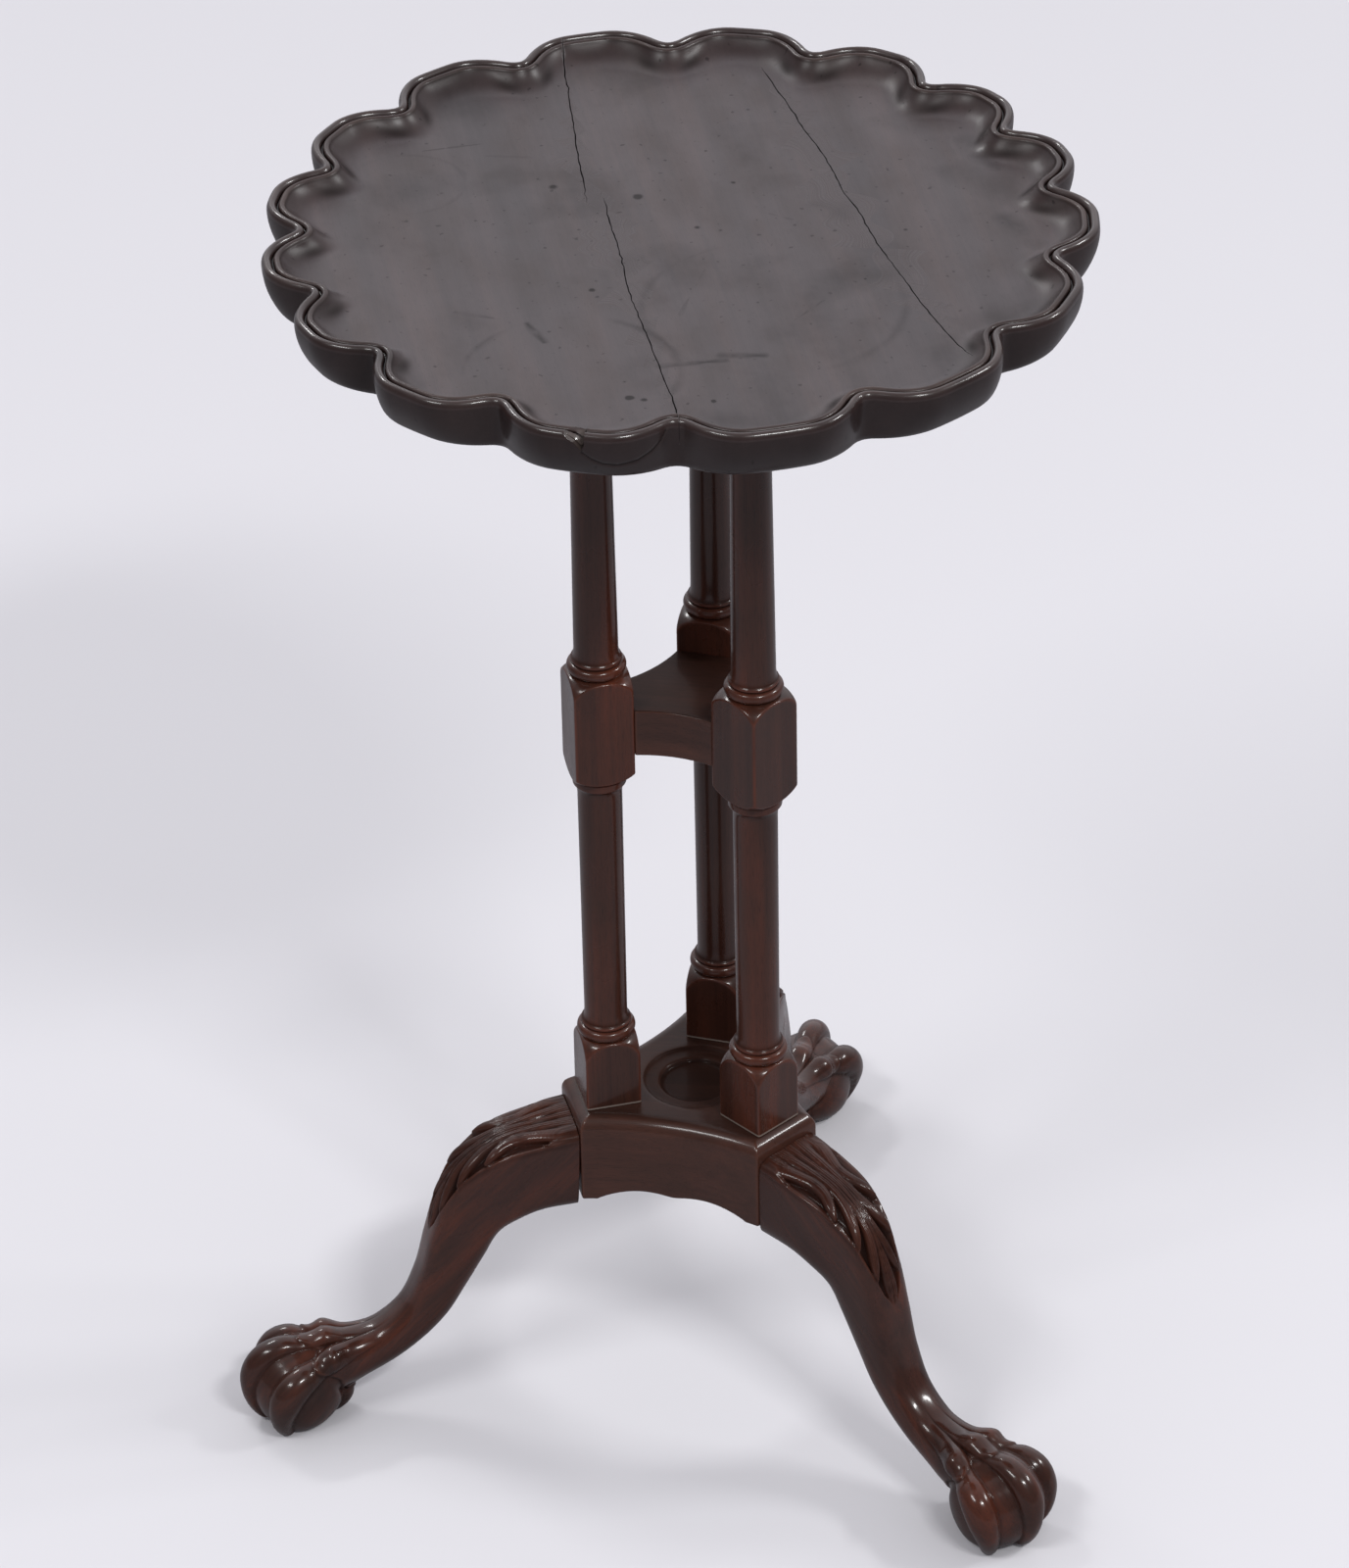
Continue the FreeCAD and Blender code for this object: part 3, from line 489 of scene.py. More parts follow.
def table_top_rings():
    """Loops round the top, from the middle of its underside out, up the rounded side, over the two beads of
    the rim and down the hollow to the flat. The quirk between the beads is the lobed line; bead loops are
    that line moved in and out, about along its normal, side loops are the outer one drawn in towards the
    underside, more at the lobes than at the notches, and the hollow blends into a softer lobed line on the
    flat. Also the dark polish and dirt with painted shade in the hollow, and the bare wood of each point."""
    number = rim_places()
    angle = lobe_direction(number)
    swell = lobe_swell(number)
    gap, half = lobe_places(number)
    ray = np.stack([np.cos(angle), np.sin(angle)], -1)
    quirk_line = ray * (NOTCH_RADIUS + (LOBE_RADIUS - NOTCH_RADIUS) * swell - QUIRK_INSET)[:, None]
    run = np.roll(quirk_line, -1, 0) - np.roll(quirk_line, 1, 0)
    inward = unit(unit(np.stack([-run[:, 1], run[:, 0]], -1)) - 0.5 * ray)
    line = quirk_line - inward * QUIRK_INSET
    line_ray = unit(line)
    loops, aged_and_shade, dirt_and_shade = [], [], []

    def add(flat, height, polish, grime_and_shade=0.0):
        loops.append(np.concatenate([flat, np.broadcast_to(height, (len(flat), 1))], 1))
        aged_and_shade.append(np.broadcast_to(polish, len(flat)))
        dirt_and_shade.append(np.broadcast_to(grime_and_shade, len(flat)))

    def side(share):
        under = LOWER_ROUND * (1 - math.sqrt(1 - max(0.0, 1 - share / 0.2) ** 2))
        tuck = NOTCH_TUCK * (1 - share) * (1 - swell) + SIDE_TUCK * (1 - share) ** 2 * swell + under
        return line - line_ray * tuck[:, None]

    foot = side(0.0)
    for share in (0.03, 0.25, 0.5, 0.75, 0.92, 0.99):
        add(foot * share, TOP_UNDERSIDE, 0.3)
    for share in np.concatenate([[0.0, 0.006, 0.02, 0.045, 0.08, 0.12, 0.16], np.linspace(0.2, 1.0, 26)]):
        add(side(share), TOP_UNDERSIDE + (RIM_SHOULDER - TOP_UNDERSIDE) * share, 0.64, 0.33)
    for turn in np.radians(np.linspace(12, 146, 12)):
        inset = OUTER_BEAD_HALF - OUTER_BEAD_HALF * math.cos(turn)
        add(line + inward * inset, RIM_SHOULDER + OUTER_BEAD_RISE * math.sin(turn), 0.7)
    for inset, height in QUIRK:
        add(line + inward * inset, height, 0.9, 0.9)
    for turn in np.radians(np.linspace(25, 165, 8)):
        inset = INNER_BEAD_INSET - INNER_BEAD_HALF * math.cos(turn)
        add(line + inward * inset, INNER_BEAD_FOOT + INNER_BEAD_RISE * math.sin(turn), 0.6)
    brink = line + inward * BRINK_INSET
    hem = ray * (HEM_RADIUS + HEM_SWELL * smooth_step(0.0, 0.95 * half, gap))[:, None]
    # Painted shade: the hollow's polish darkens towards the rim, and dark pockets are painted beside each
    # notch.
    for share in np.linspace(0.0, 1.0, 20) ** 1.25:
        shade_pocket = 0.65 * hump(gap - 11.0, 10.0) * hump(share - 0.4, 0.4)
        shade = 0.55 * (1 - smooth_step(0.25, 0.95, share))
        add(brink + (hem - brink) * share, DISH_FLOOR + HOLLOW_RISE * (1 - share) ** 2.3, shade, shade_pocket)
    for share in (0.97, 0.92, 0.84, 0.72, 0.58, 0.43, 0.28, 0.14, 0.05):
        add(hem * share, DISH_FLOOR, 0.0)
    rings, dirt_and_shade, bare = chipped(np.stack(loops), np.stack(dirt_and_shade), angle, line)
    return rings, np.stack(aged_and_shade), dirt_and_shade, bare


def chipped(rings, dirt_and_shade, angle, line):
    """The top's loops with the chip: a notch knocked out of both beads, steep on one side, and a curved split
    in the wood below it. Also the dirt and the bare wood there."""
    beyond = (angle - CHIP_ANGLE) * 200.0
    reach = np.hypot(rings[..., 0], rings[..., 1])
    height = rings[..., 2]
    inset = np.hypot(line[:, 0], line[:, 1]) - reach
    depth = (np.interp(inset, (-1, 0, 5, 9, 12), (9.0, 9.0, 5.0, 2.2, 0.0))
             * np.interp(beyond, (-8.0, -6.5, -3.0, 0.5, 1.3, 2.1), (0.0, 0.22, 0.5, 1.0, 0.95, 0.0)))
    over = np.clip(height - (RIM_TOP - depth), 0, None) * (depth > 0) * (height > 685)
    split = np.interp(beyond, (0.5, 5, 10, 16, 24, 30, 34, 37),
                      (690.5, 686.5, 684, 683, 684.5, 688, 692, 697))
    on_side = (beyond > 0.5) & (beyond < 37) & (inset > -0.5) & (inset < 3.0)
    groove = hump(height - split, 1.3) * on_side
    inner = (reach - 0.35 * over * (inset < 2) - 0.6 * groove) / np.maximum(reach, 1e-6)
    broken = smooth_step(0.4, 1.5, over)
    rings = np.concatenate([rings[..., :2] * inner[..., None], (height - over)[..., None]], -1)
    dirt_and_shade = np.maximum(dirt_and_shade, np.maximum(groove, broken * (beyond >= 0.9)))
    return rings, dirt_and_shade, 0.15 * broken * (beyond < 0.9)


def crack_rings(path, seed):
    """A thin blade along a wandering line, to be cut out of the top: parallel above the flat, sharp below."""
    random = np.random.default_rng(seed)
    path = np.asarray(path, float)
    keys = lengths_along(path)
    at = np.linspace(0, keys[-1], int(keys[-1] / 4))
    middle = through(keys, path, at)
    run = np.gradient(middle, axis=0)
    side = unit(np.stack([-run[:, 1], run[:, 0]], -1))
    middle += side * random.normal(0, 0.2, len(at))[:, None]
    half = CRACK_WIDTH / 2 * np.interp(at, (0, 14, keys[-1] - 18, keys[-1]), (0.25, 1, 1, 0.3))
    half *= random.uniform(0.7, 1.25, len(at))
    above, below = RIM_TOP + 3.0, DISH_FLOOR - CRACK_DEPTH
    loops = [np.column_stack([middle + side * (half * share)[:, None], np.full(len(at), height)])
             for share, height in ((-1, above), (-1, DISH_FLOOR), (0, below), (1, DISH_FLOOR), (1, above))]
    return np.stack(loops, 1)


def cut_out(piece, blades):
    """Cuts the blades out of a piece and keeps the result as its mesh."""
    for blade in blades:
        cut = piece.modifiers.new("crack", "BOOLEAN")
        cut.operation = "DIFFERENCE"
        cut.solver = "EXACT"
        cut.material_mode = "TRANSFER"
        cut.object = blade
    bpy.context.view_layer.update()
    done = bpy.data.meshes.new_from_object(piece.evaluated_get(bpy.context.evaluated_depsgraph_get()))
    done.name = piece.name
    done.set_sharp_from_angle(angle=math.radians(50))
    piece.modifiers.clear()
    piece.data = done
    for blade in blades:
        bpy.data.objects.remove(blade)


top_loops, top_aged_and_shade, top_dirt_and_shade, top_bare = table_top_rings()
table_top = add_piece("piecrust_top", top_loops, top_finish, "table_top", BOARD_GRAIN,
                      dirt_and_shade=top_dirt_and_shade, bare=top_bare, aged_and_shade=top_aged_and_shade)
cut_out(table_top, [new_object("crack_blade", new_mesh("crack_blade", crack_rings(path, seed), crack_finish))
                    for seed, path in enumerate(CRACKS, 3)])


# Columns

COLUMN_CIRCLE = 48.0
COLUMN_GRAIN_STEP = 0.013
PLINTH_TOP = 180.0
PLATFORM_BOTTOM = 654.0
TENON_RADIUS = 6.9
# Blocks: side of the square, and heights of the ends of its upright edges and of the shoulder's top.
LOW_BLOCK = (29.6, 180.0, 207.0, 221.0)
MID_BLOCK = (31.4, 391.0, 436.0, 447.0)
COLLAR_TOP = 384.0
ROOM_ABOVE = 60.0
# How square a block is: the power of its rounded square, and the blend from flat to turned.
WORN_CORNER = 30.0
ARRIS_BLEND = 0.6


def shoulder(low_radius, low_height, high_radius, high_height, fullness):
    """A turned shoulder that bulges between two points of the outline, as a quarter of a rounded diamond: the
    fullness is 1 for a straight slope and 2 for a quarter ellipse. Points run from the low end up."""
    turn = np.linspace(0, math.pi / 2, 26)
    radius = high_radius + (low_radius - high_radius) * np.cos(turn) ** (2 / fullness)
    height = low_height + (high_height - low_height) * np.sin(turn) ** (2 / fullness)
    return np.stack([radius, height], -1)


def ring_and_fillet(bottom, shaft):
    """Above a block: a half-round ring, a groove, a thin fillet and a hollow up to the shaft."""
    turn = np.linspace(-math.pi / 2, math.pi / 2, 16)
    ring = np.stack([12.6 + 2.8 * np.cos(turn), bottom + 3.3 + 3.1 * np.sin(turn)], -1)
    rest = np.array([(12.5, 6.55), (12.6, 6.8), (13.05, 7.0), (13.2, 7.4), (13.2, 8.1), (13.05, 8.5),
                     (12.5, 8.8), (shaft + 0.75, 9.3), (shaft + 0.4, 10.3), (shaft + 0.15, 11.8),
                     (shaft, 14.0)])
    return np.concatenate([ring, rest + (0, bottom)])


def column_outline():
    """The turned outline of a column as (radius, height), and the half side of the square that limits it."""
    runs = []

    def add(points, half_side=ROOM_ABOVE):
        points = np.asarray(points, float)
        runs.append(np.column_stack([points, np.full(len(points), half_side)]))

    low_side, low_bottom, low_arris, low_top = LOW_BLOCK
    mid_side, mid_arris_low, mid_arris, mid_top = MID_BLOCK
    low_corner = low_side * math.sqrt(0.5)
    mid_corner = mid_side * math.sqrt(0.5)
    low_half = low_side / 2
    mid_half = mid_side / 2
    collar = np.array([(11.6, -12.0), (11.75, -9.5), (12.0, -7.6), (12.5, -6.2), (13.2, -5.4), (13.7, -5.1),
                       (13.95, -4.7), (14.0, -4.0), (14.0, -1.5), (13.9, -0.9), (13.5, -0.5), (13.1, -0.3),
                       (13.1, 0.0)])
    capital = np.array([(10.0, -9.5), (10.2, -8.2), (10.7, -7.0), (11.7, -5.9), (12.8, -5.2), (13.35, -4.9),
                        (13.5, -4.4), (13.5, -0.3), (13.2, 0.0), (10.0, 0.0)])
    add(np.linspace((TENON_RADIUS, low_bottom - 20), (TENON_RADIUS, low_bottom), 4))
    add(np.linspace((8.0, low_bottom), (low_corner - 0.5, low_bottom), 5), low_half - 0.4)
    add(np.linspace((low_corner + 2, low_bottom + 0.35), (low_corner + 2, low_bottom + 1.1), 3), low_half)
    add(np.linspace((low_corner + 2, low_bottom + 1.6), (low_corner + 2, low_arris - 1), 14), low_half)
    add(shoulder(low_corner + 0.3, low_arris, 12.6, low_top, 1.75), low_half)
    add(ring_and_fillet(low_top, 11.3))
    add(np.linspace((11.3, low_top + 17), (11.6, COLLAR_TOP - 15), 20))
    add(collar + (0, COLLAR_TOP))
    add(shoulder(mid_corner + 0.3, mid_arris_low, 13.6, COLLAR_TOP + 0.2, 1.35)[::-1], mid_half)
    add(np.linspace((mid_corner + 2, mid_arris_low + 1), (mid_corner + 2, mid_arris - 1), 18), mid_half)
    add(shoulder(mid_corner + 0.3, mid_arris, 12.6, mid_top, 1.8), mid_half)
    add(ring_and_fillet(mid_top, 11.5))
    add(np.linspace((11.5, mid_top + 17), (10.0, PLATFORM_BOTTOM - 12), 24))
    add(capital + (0, PLATFORM_BOTTOM))
    add(np.linspace((TENON_RADIUS, PLATFORM_BOTTOM), (TENON_RADIUS, PLATFORM_BOTTOM + 13), 3))
    return np.concatenate(runs)


def column_rings():
    """Loops round a column: the turned radius, or the rounded square's where that is less."""
    outline = column_outline()
    even = np.linspace(0, 2 * math.pi, 144, endpoint=False)
    angle = even + 0.72 / 4 * np.sin(4 * even)
    square = np.abs(np.cos(angle)) ** WORN_CORNER + np.abs(np.sin(angle)) ** WORN_CORNER
    radius = soft_min(outline[:, :1], outline[:, 2:] * square ** (-1 / WORN_CORNER), ARRIS_BLEND)
    height = np.broadcast_to(outline[:, 1:2], radius.shape)
    return np.stack([COLUMN_CIRCLE + radius * np.cos(angle), radius * np.sin(angle), height], -1)


column_loops = column_rings()
# A thin line of pale dust lies where a block stands on the plinth.
dust_line = 0.75 * (np.abs(column_loops[..., 2] - PLINTH_TOP - 0.6) < 0.65)
for place, corner_angle in CORNERS.items():
    add_piece(f"column_turned_{place}", turned_by(column_loops, corner_angle), column_finish,
              f"column_{place}", (0.0, 0.0, 1.0), shift=corner_angle * COLUMN_GRAIN_STEP, bare=dust_line)


# Plinth, shelf and platform

CORNER_EASE = 1.1
# Points on a cut corner, on its eased end and on a hollow side of a board's plan.
CUT_POINTS = 26
EASE_POINTS = 9
SIDE_POINTS = 120


class HollowTriangle:
    """A board's plan with three cut corners and hollow sides: each side is an arc round a centre outside."""

    def __init__(self, corner, half_width, sag):
        half_chord = corner * math.sin(math.pi / 3) - half_width / 2
        self.corner = corner
        self.bend = (half_chord ** 2 + sag ** 2) / (2 * sag)
        self.away = corner / 2 + half_width * math.sin(math.pi / 3) - sag + self.bend

    def line(self, inset=0.0):
        """The closed plan line moved inwards by the inset. The corners are eased by a short curve, and every
        call gives its points in the same order."""
        reach = self.corner - inset
        bend = self.bend + inset
        half, height = 0.5, math.sin(math.pi / 3)
        centre = self.away * np.array([half, height])
        tip = centre[1] - math.sqrt(bend ** 2 - (reach - centre[0]) ** 2)
        vertex = np.array([reach, tip])
        end = np.array([reach * -half + tip * height, reach * height + tip * half])
        first, last = (math.atan2(*(p - centre)[::-1]) % (2 * math.pi) for p in (vertex, end))
        trim = CORNER_EASE / bend
        turn = np.linspace(first - trim, last + trim, SIDE_POINTS)
        hollow = centre + bend * np.stack([np.cos(turn), np.sin(turn)], -1)
        share = np.linspace(0, 1, EASE_POINTS + 2)[1:-1, None]
        eased = ((1 - share) ** 2 * (vertex - (0, CORNER_EASE)) + 2 * share * (1 - share) * vertex
                 + share ** 2 * hollow[0])
        across = np.linspace(CORNER_EASE - tip, tip - CORNER_EASE, CUT_POINTS)
        straight = np.stack([np.full(CUT_POINTS, reach), across], -1)
        mirrored = eased[::-1] * (1, -1)
        sector = at_height(np.concatenate([mirrored, straight, eased, hollow]), 0.0)
        return np.concatenate([turned_by(sector, 90.0 + k * 120)[:, :2] for k in range(3)])


def at_height(flat, height):
    """A plan line lifted to a height, or to one height for each of its points."""
    return np.column_stack([flat, np.broadcast_to(height, len(flat))])


PLINTH = HollowTriangle(68.5, 22.0, 7.0)
SHELF = HollowTriangle(32.3, 15.2, 3.0)
PLATFORM = HollowTriangle(66.0, 20.0, 7.0)
SHELF_BOTTOM = 400.5
SHELF_TOP = 427.5
APRON_TOP = 171.0
PLINTH_BOTTOM = 128.0
PLINTH_ROUND = 8.5
WAVE_HALF = 41.0
WAVE_DROP = 3.5
WAVE_RISE = 4.3
WAVE_DIP = 3.0
SINKING_RADIUS = 29.5
# The two soft steps of the round sinking: radius and height.
SINKING = ((28.4, 179.92), (27.8, 179.7), (27.2, 179.2), (26.5, 178.75), (25.5, 178.45), (23.5, 178.3),
           (21.3, 178.35), (20.2, 178.3), (19.5, 178.0), (19.0, 177.4), (18.5, 176.6), (17.7, 176.0),
           (16.0, 175.7), (12.0, 175.6), (6.0, 175.6), (1.5, 175.6))


def wave(flat):
    """Height of the wavy lower edge over its ends: along each side two long humps with a soft dip between."""
    angle = np.degrees(np.arctan2(flat[:, 1], flat[:, 0]))
    side = np.radians((angle + 30.0) % 120.0 - 60.0)
    along = np.hypot(flat[:, 0], flat[:, 1]) * np.sin(side)
    share = np.clip(np.sqrt(along ** 2 + WAVE_DIP ** 2) / WAVE_HALF, 0, 1)
    return WAVE_DROP * (1 - share) + WAVE_RISE * np.sin(math.pi * share) ** 0.8


def plinth_rings():
    """Loops from the middle of the underside out to the wavy edge, up the apron, over the rolled edge, across
    the flat, and down the two soft steps of the round sinking. Also dust and painted shade over the flat,
    darkest in that sinking."""
    base = PLINTH.line()
    lift = wave(base)
    low = PLINTH_BOTTOM + lift
    loops = [at_height(base * share, PLINTH_BOTTOM + rise * lift)
             for share, rise in ((0.05, 0.0), (0.55, 0.0), (0.66, 0.8), (0.75, 1.0))]
    for inset, rise in ((6.0, 0.0), (1.6, 0.0), (0.8, 0.12), (0.25, 0.5), (0.0, 1.3)):
        loops.append(at_height(PLINTH.line(inset), low + rise))
    for share in np.linspace(0.08, 1.0, 12):
        loops.append(at_height(base, low + 1.3 + (APRON_TOP - low - 1.4) * share))
    for turn in np.radians(np.linspace(0, 90, 20)):
        inset = PLINTH_ROUND - PLINTH_ROUND * math.cos(turn)
        loops.append(at_height(PLINTH.line(inset), PLINTH_TOP - PLINTH_ROUND + PLINTH_ROUND * math.sin(turn)))
    brink = PLINTH.line(9.4)
    angle = np.arctan2(brink[:, 1], brink[:, 0])
    circle = np.stack([np.cos(angle), np.sin(angle)], -1)
    for share in (0.0, 0.2, 0.5, 0.8, 0.97):
        loops.append(at_height(brink + (circle * SINKING_RADIUS - brink) * share, PLINTH_TOP))
    loops += [at_height(circle * radius, height) for radius, height in SINKING]
    rings = np.stack(loops)
    reach = np.hypot(rings[..., 0], rings[..., 1])
    # Painted shade with dust: the flat is darkened, and the sinking under the top more so.
    grime_and_shade = 0.5 + 0.2 * (reach < 28) + 0.2 * (reach < 19)
    return rings, grime_and_shade * smooth_step(178.6, 179.9, rings[..., 2] + 6.0 * (reach < 29))


def board_rings(plan, bottom, top, lower_round, upper_round):
    """Loops over a board: underside, rounded lower edge, side, rounded upper edge and top. Also the dust and
    painted shade on its top."""
    loops = [at_height(plan.line() * share, bottom) for share in (0.05, 0.5, 0.85)]
    for turn in np.radians(np.linspace(0, 90, 7)):
        inset = lower_round * (1 - math.sin(turn))
        loops.append(at_height(plan.line(inset), bottom + lower_round * (1 - math.cos(turn))))
    upright = top - bottom - lower_round - upper_round
    for share in (0.3, 0.7):
        loops.append(at_height(plan.line(), bottom + lower_round + upright * share))
    for turn in np.radians(np.linspace(0, 90, 7)):
        inset = upper_round * (1 - math.cos(turn))
        loops.append(at_height(plan.line(inset), top - upper_round * (1 - math.sin(turn))))
    loops += [at_height(plan.line() * share, top) for share in (0.85, 0.5, 0.05)]
    rings = np.stack(loops)
    # Painted shade with dust on the board's top.
    return rings, 0.65 * smooth_step(top - 0.5, top - 0.05, rings[..., 2])


plinth_loops, plinth_grime_and_shade = plinth_rings()
add_piece("plinth_moulded", plinth_loops, plinth_finish, "plinth", (1.0, 0.2, 0.0),
          dirt_and_shade=plinth_grime_and_shade)
shelf_loops, shelf_grime_and_shade = board_rings(SHELF, SHELF_BOTTOM, SHELF_TOP, 0.9, 0.9)
add_piece("shelf_board", shelf_loops, plinth_finish, "mid_shelf", (1.0, 0.1, 0.0),
          shift=0.4, dirt_and_shade=shelf_grime_and_shade)
platform_loops, platform_grime_and_shade = board_rings(PLATFORM, PLATFORM_BOTTOM, TOP_UNDERSIDE, 3.0, 0.4)
add_piece("platform_board", platform_loops, plinth_finish, "top_platform", (1.0, -0.3, 0.0),
          shift=0.8, dirt_and_shade=platform_grime_and_shade)


# Legs

# Seen from the side: upper edge, lower edge, half width and how square the section is, from the joint at the
# plinth down the knee, the shank and the ankle, and then fanning round the ball to its underside.
LEG_STATIONS = np.array([
    (68.5, 170.0, 68.5, 122.0, 21.0, 7.0),
    (90.4, 167.5, 87.9, 121.0, 20.4, 6.5),
    (112.3, 162.4, 100.7, 115.9, 18.6, 6.0),
    (130.3, 149.3, 111.7, 106.9, 15.5, 5.0),
    (142.0, 128.8, 120.2, 91.2, 14.2, 4.2),
    (149.2, 106.3, 129.9, 73.8, 13.8, 3.5),
    (156.1, 81.3, 141.9, 54.7, 13.5, 3.0),
    (165.9, 62.2, 156.0, 40.8, 13.3, 2.6),
    (179.7, 52.0, 171.9, 29.7, 13.6, 2.3),
    (195.4, 47.4, 189.0, 22.4, 14.4, 2.1),
    (209.5, 46.2, 201.0, 17.6, 16.8, 2.0),
    (221.0, 46.2, 200.2, 13.2, 20.4, 2.0),
    (233.0, 44.8, 200.3, 9.8, 23.2, 2.0),
    (241.8, 39.2, 201.3, 7.2, 24.5, 2.0),
    (247.2, 30.6, 203.0, 4.8, 24.8, 2.0),
    (248.6, 20.6, 205.2, 2.8, 24.0, 2.0),
    (246.4, 10.8, 207.8, 1.2, 22.0, 2.0),
    (242.2, 4.2, 210.4, 0.4, 19.4, 2.0),
    (239.0, 0.8, 212.2, 0.1, 17.0, 2.0),
    (237.0, 0.0, 213.6, 0.0, 15.4, 2.0),
])
JOINT_X, JOINT_TOP, _, JOINT_BOTTOM, _, _ = LEG_STATIONS[0]
# How far the joint at the plinth has opened at its foot.
JOINT_OPENINGS = {"rear": 0.1, "left": 1.8, "right": 0.1}
LEG_GRAIN_STEP = 0.017

LEAF_LENGTH = 112.0
LEAF_HALF = 13.5
# Half the outline of the leaf: lengths along the knee, and distances from its middle where the knee is as
# wide as the leaf.
LEAF_EDGE = ((0, 50, 64, 78, 92, 104, 112), (13.2, 13.2, 12.4, 10.8, 8.2, 5.0, 0.6))
# Fingers of half the leaf from root to tip: length along the knee, distance from the middle, half width and
# height.
LEAF_FINGERS = (
    ((0, 9.8, 4.0, 0.4), (11, 9.4, 4.0, 0.8), (20, 7.6, 3.3, 0.8), (30, 6.0, 2.9, 0.5), (39, 7.0, 2.9, 0.7),
     (46, 9.4, 2.9, 1.0), (54, 12.2, 2.3, 0.8)),
    ((0, 4.6, 3.0, 0.4), (20, 3.3, 2.5, 0.9), (38, 2.8, 2.3, 0.5), (50, 3.8, 2.6, 0.5), (59, 6.0, 2.9, 0.8),
     (66, 8.3, 2.9, 1.1), (75, 11.2, 2.2, 0.6)),
    ((22, 1.0, 0.5, 0.4), (40, 1.0, 1.9, 0.8), (57, 1.3, 2.3, 0.5), (70, 2.4, 2.6, 0.8), (79, 4.1, 2.9, 1.0),
     (86, 5.5, 2.8, 1.1), (95, 7.4, 2.0, 0.4)),
    ((56, 0.0, 0.4, 0.2), (76, 0.2, 1.9, 0.7), (92, 1.0, 2.6, 1.0), (103, 1.5, 2.3, 1.0),
     (112, 0.8, 1.3, 0.2)),
    ((0, 0.0, 1.7, 0.5), (30, 0.0, 1.6, 1.0), (70, 0.0, 1.2, 0.8), (100, 0.0, 0.8, 0.2)),
    ((0, 12.6, 1.2, 0.6), (10, 12.8, 1.0, 0.6), (20, 12.9, 0.5, 0.3)),
)
FINGER_TIP = 8.0
FINGER_GROOVE = 0.95

# Claws: heights over the ball and half widths, at lengths along the upper edge.
CLAW_KEYS = (168, 184, 196, 207, 217, 229, 241, 252, 262, 272, 283, 300)
MIDDLE_CLAW = ((0.0, 0.4, 1.5, 5.0, 2.6, 4.8, 6.4, 6.2, 4.8, 3.6, 2.8, 1.0),
               (3.4, 4.0, 4.8, 6.0, 5.6, 6.8, 7.8, 7.6, 6.2, 5.0, 4.0, 3.0))
SIDE_CLAW = ((0.0, 0.4, 1.7, 5.4, 3.0, 5.4, 7.0, 6.6, 5.2, 4.0, 3.0, 1.0),
             (3.4, 4.0, 5.0, 6.4, 6.0, 7.6, 8.6, 8.4, 7.0, 5.6, 4.4, 3.4))
REAR_CLAW = ((0.0, 0.5, 2.0, 4.4, 5.6, 5.8, 5.2, 4.4, 3.6, 2.8, 1.8, 0.6),
             (4.0, 4.5, 5.5, 7.0, 8.0, 8.0, 7.5, 6.8, 6.0, 5.0, 4.5, 4.0))
# Angle between the middle claw and a side claw, in degrees, at lengths along the upper edge.
CLAW_SPREAD = ((160, 190, 205, 225, 245, 300), (34, 40, 48, 58, 62, 60))
WEB_THICKNESS = 1.2
WEB_END = 207.0
WEB_REACH = 15.0


def leaf_relief(along, across):
    """Height of the acanthus leaf carved into the upper face of the knee, within the straight border at its
    edges, and how deep its ground is sunk, from 0 to 1. Each finger is a rounded strip along its curved
    middle line, scored lengthwise and ended by a round tip; the highest finger is kept at each place, and
    the ground shows between the fingers and the border."""
    out = np.abs(across)
    edge = np.interp(along, *LEAF_EDGE)
    ground = -np.interp(along, (0, 7, 16, 82, LEAF_LENGTH), (0.3, 1.2, 3.6, 3.0, 1.0))
    carved = np.broadcast_to(ground, out.shape)
    for finger in LEAF_FINGERS:
        keys, places, widths, heights = np.array(finger, float).T
        beside = out - through(keys, places, along)
        past = np.clip(along - keys[-1] + FINGER_TIP, 0, None) / FINGER_TIP
        ended = np.clip(1 - past ** 2, 0, 1) ** 0.5
        width = through(keys, widths, along) * ended * (along >= keys[0])
        strip = np.clip(1 - np.abs(beside / (width + 0.01)) ** 2.6, 0, 1) ** 0.5
        scored = 0.45 * np.abs(np.sin(math.pi * beside / FINGER_GROOVE)) ** 0.6 - 0.4
        carved = np.maximum(carved, ground + (through(keys, heights, along) + scored - ground) * strip)
    tips = smooth_step(0.3, 0.9, carved)
    inside = 1 - smooth_step(-0.45, 0.45, out - edge - 1.2 * tips)
    border = 0.6 * hump(out - edge - 0.6, 1.1) * (1 - smooth_step(60, 95, along))
    fade = 1 - smooth_step(LEAF_LENGTH - 6, LEAF_LENGTH, along)
    sunk = inside * fade * (0.3 + 0.7 * smooth_step(0.7, 2.2, -carved))
    return (inside * carved + (1 - inside) * border) * fade, sunk


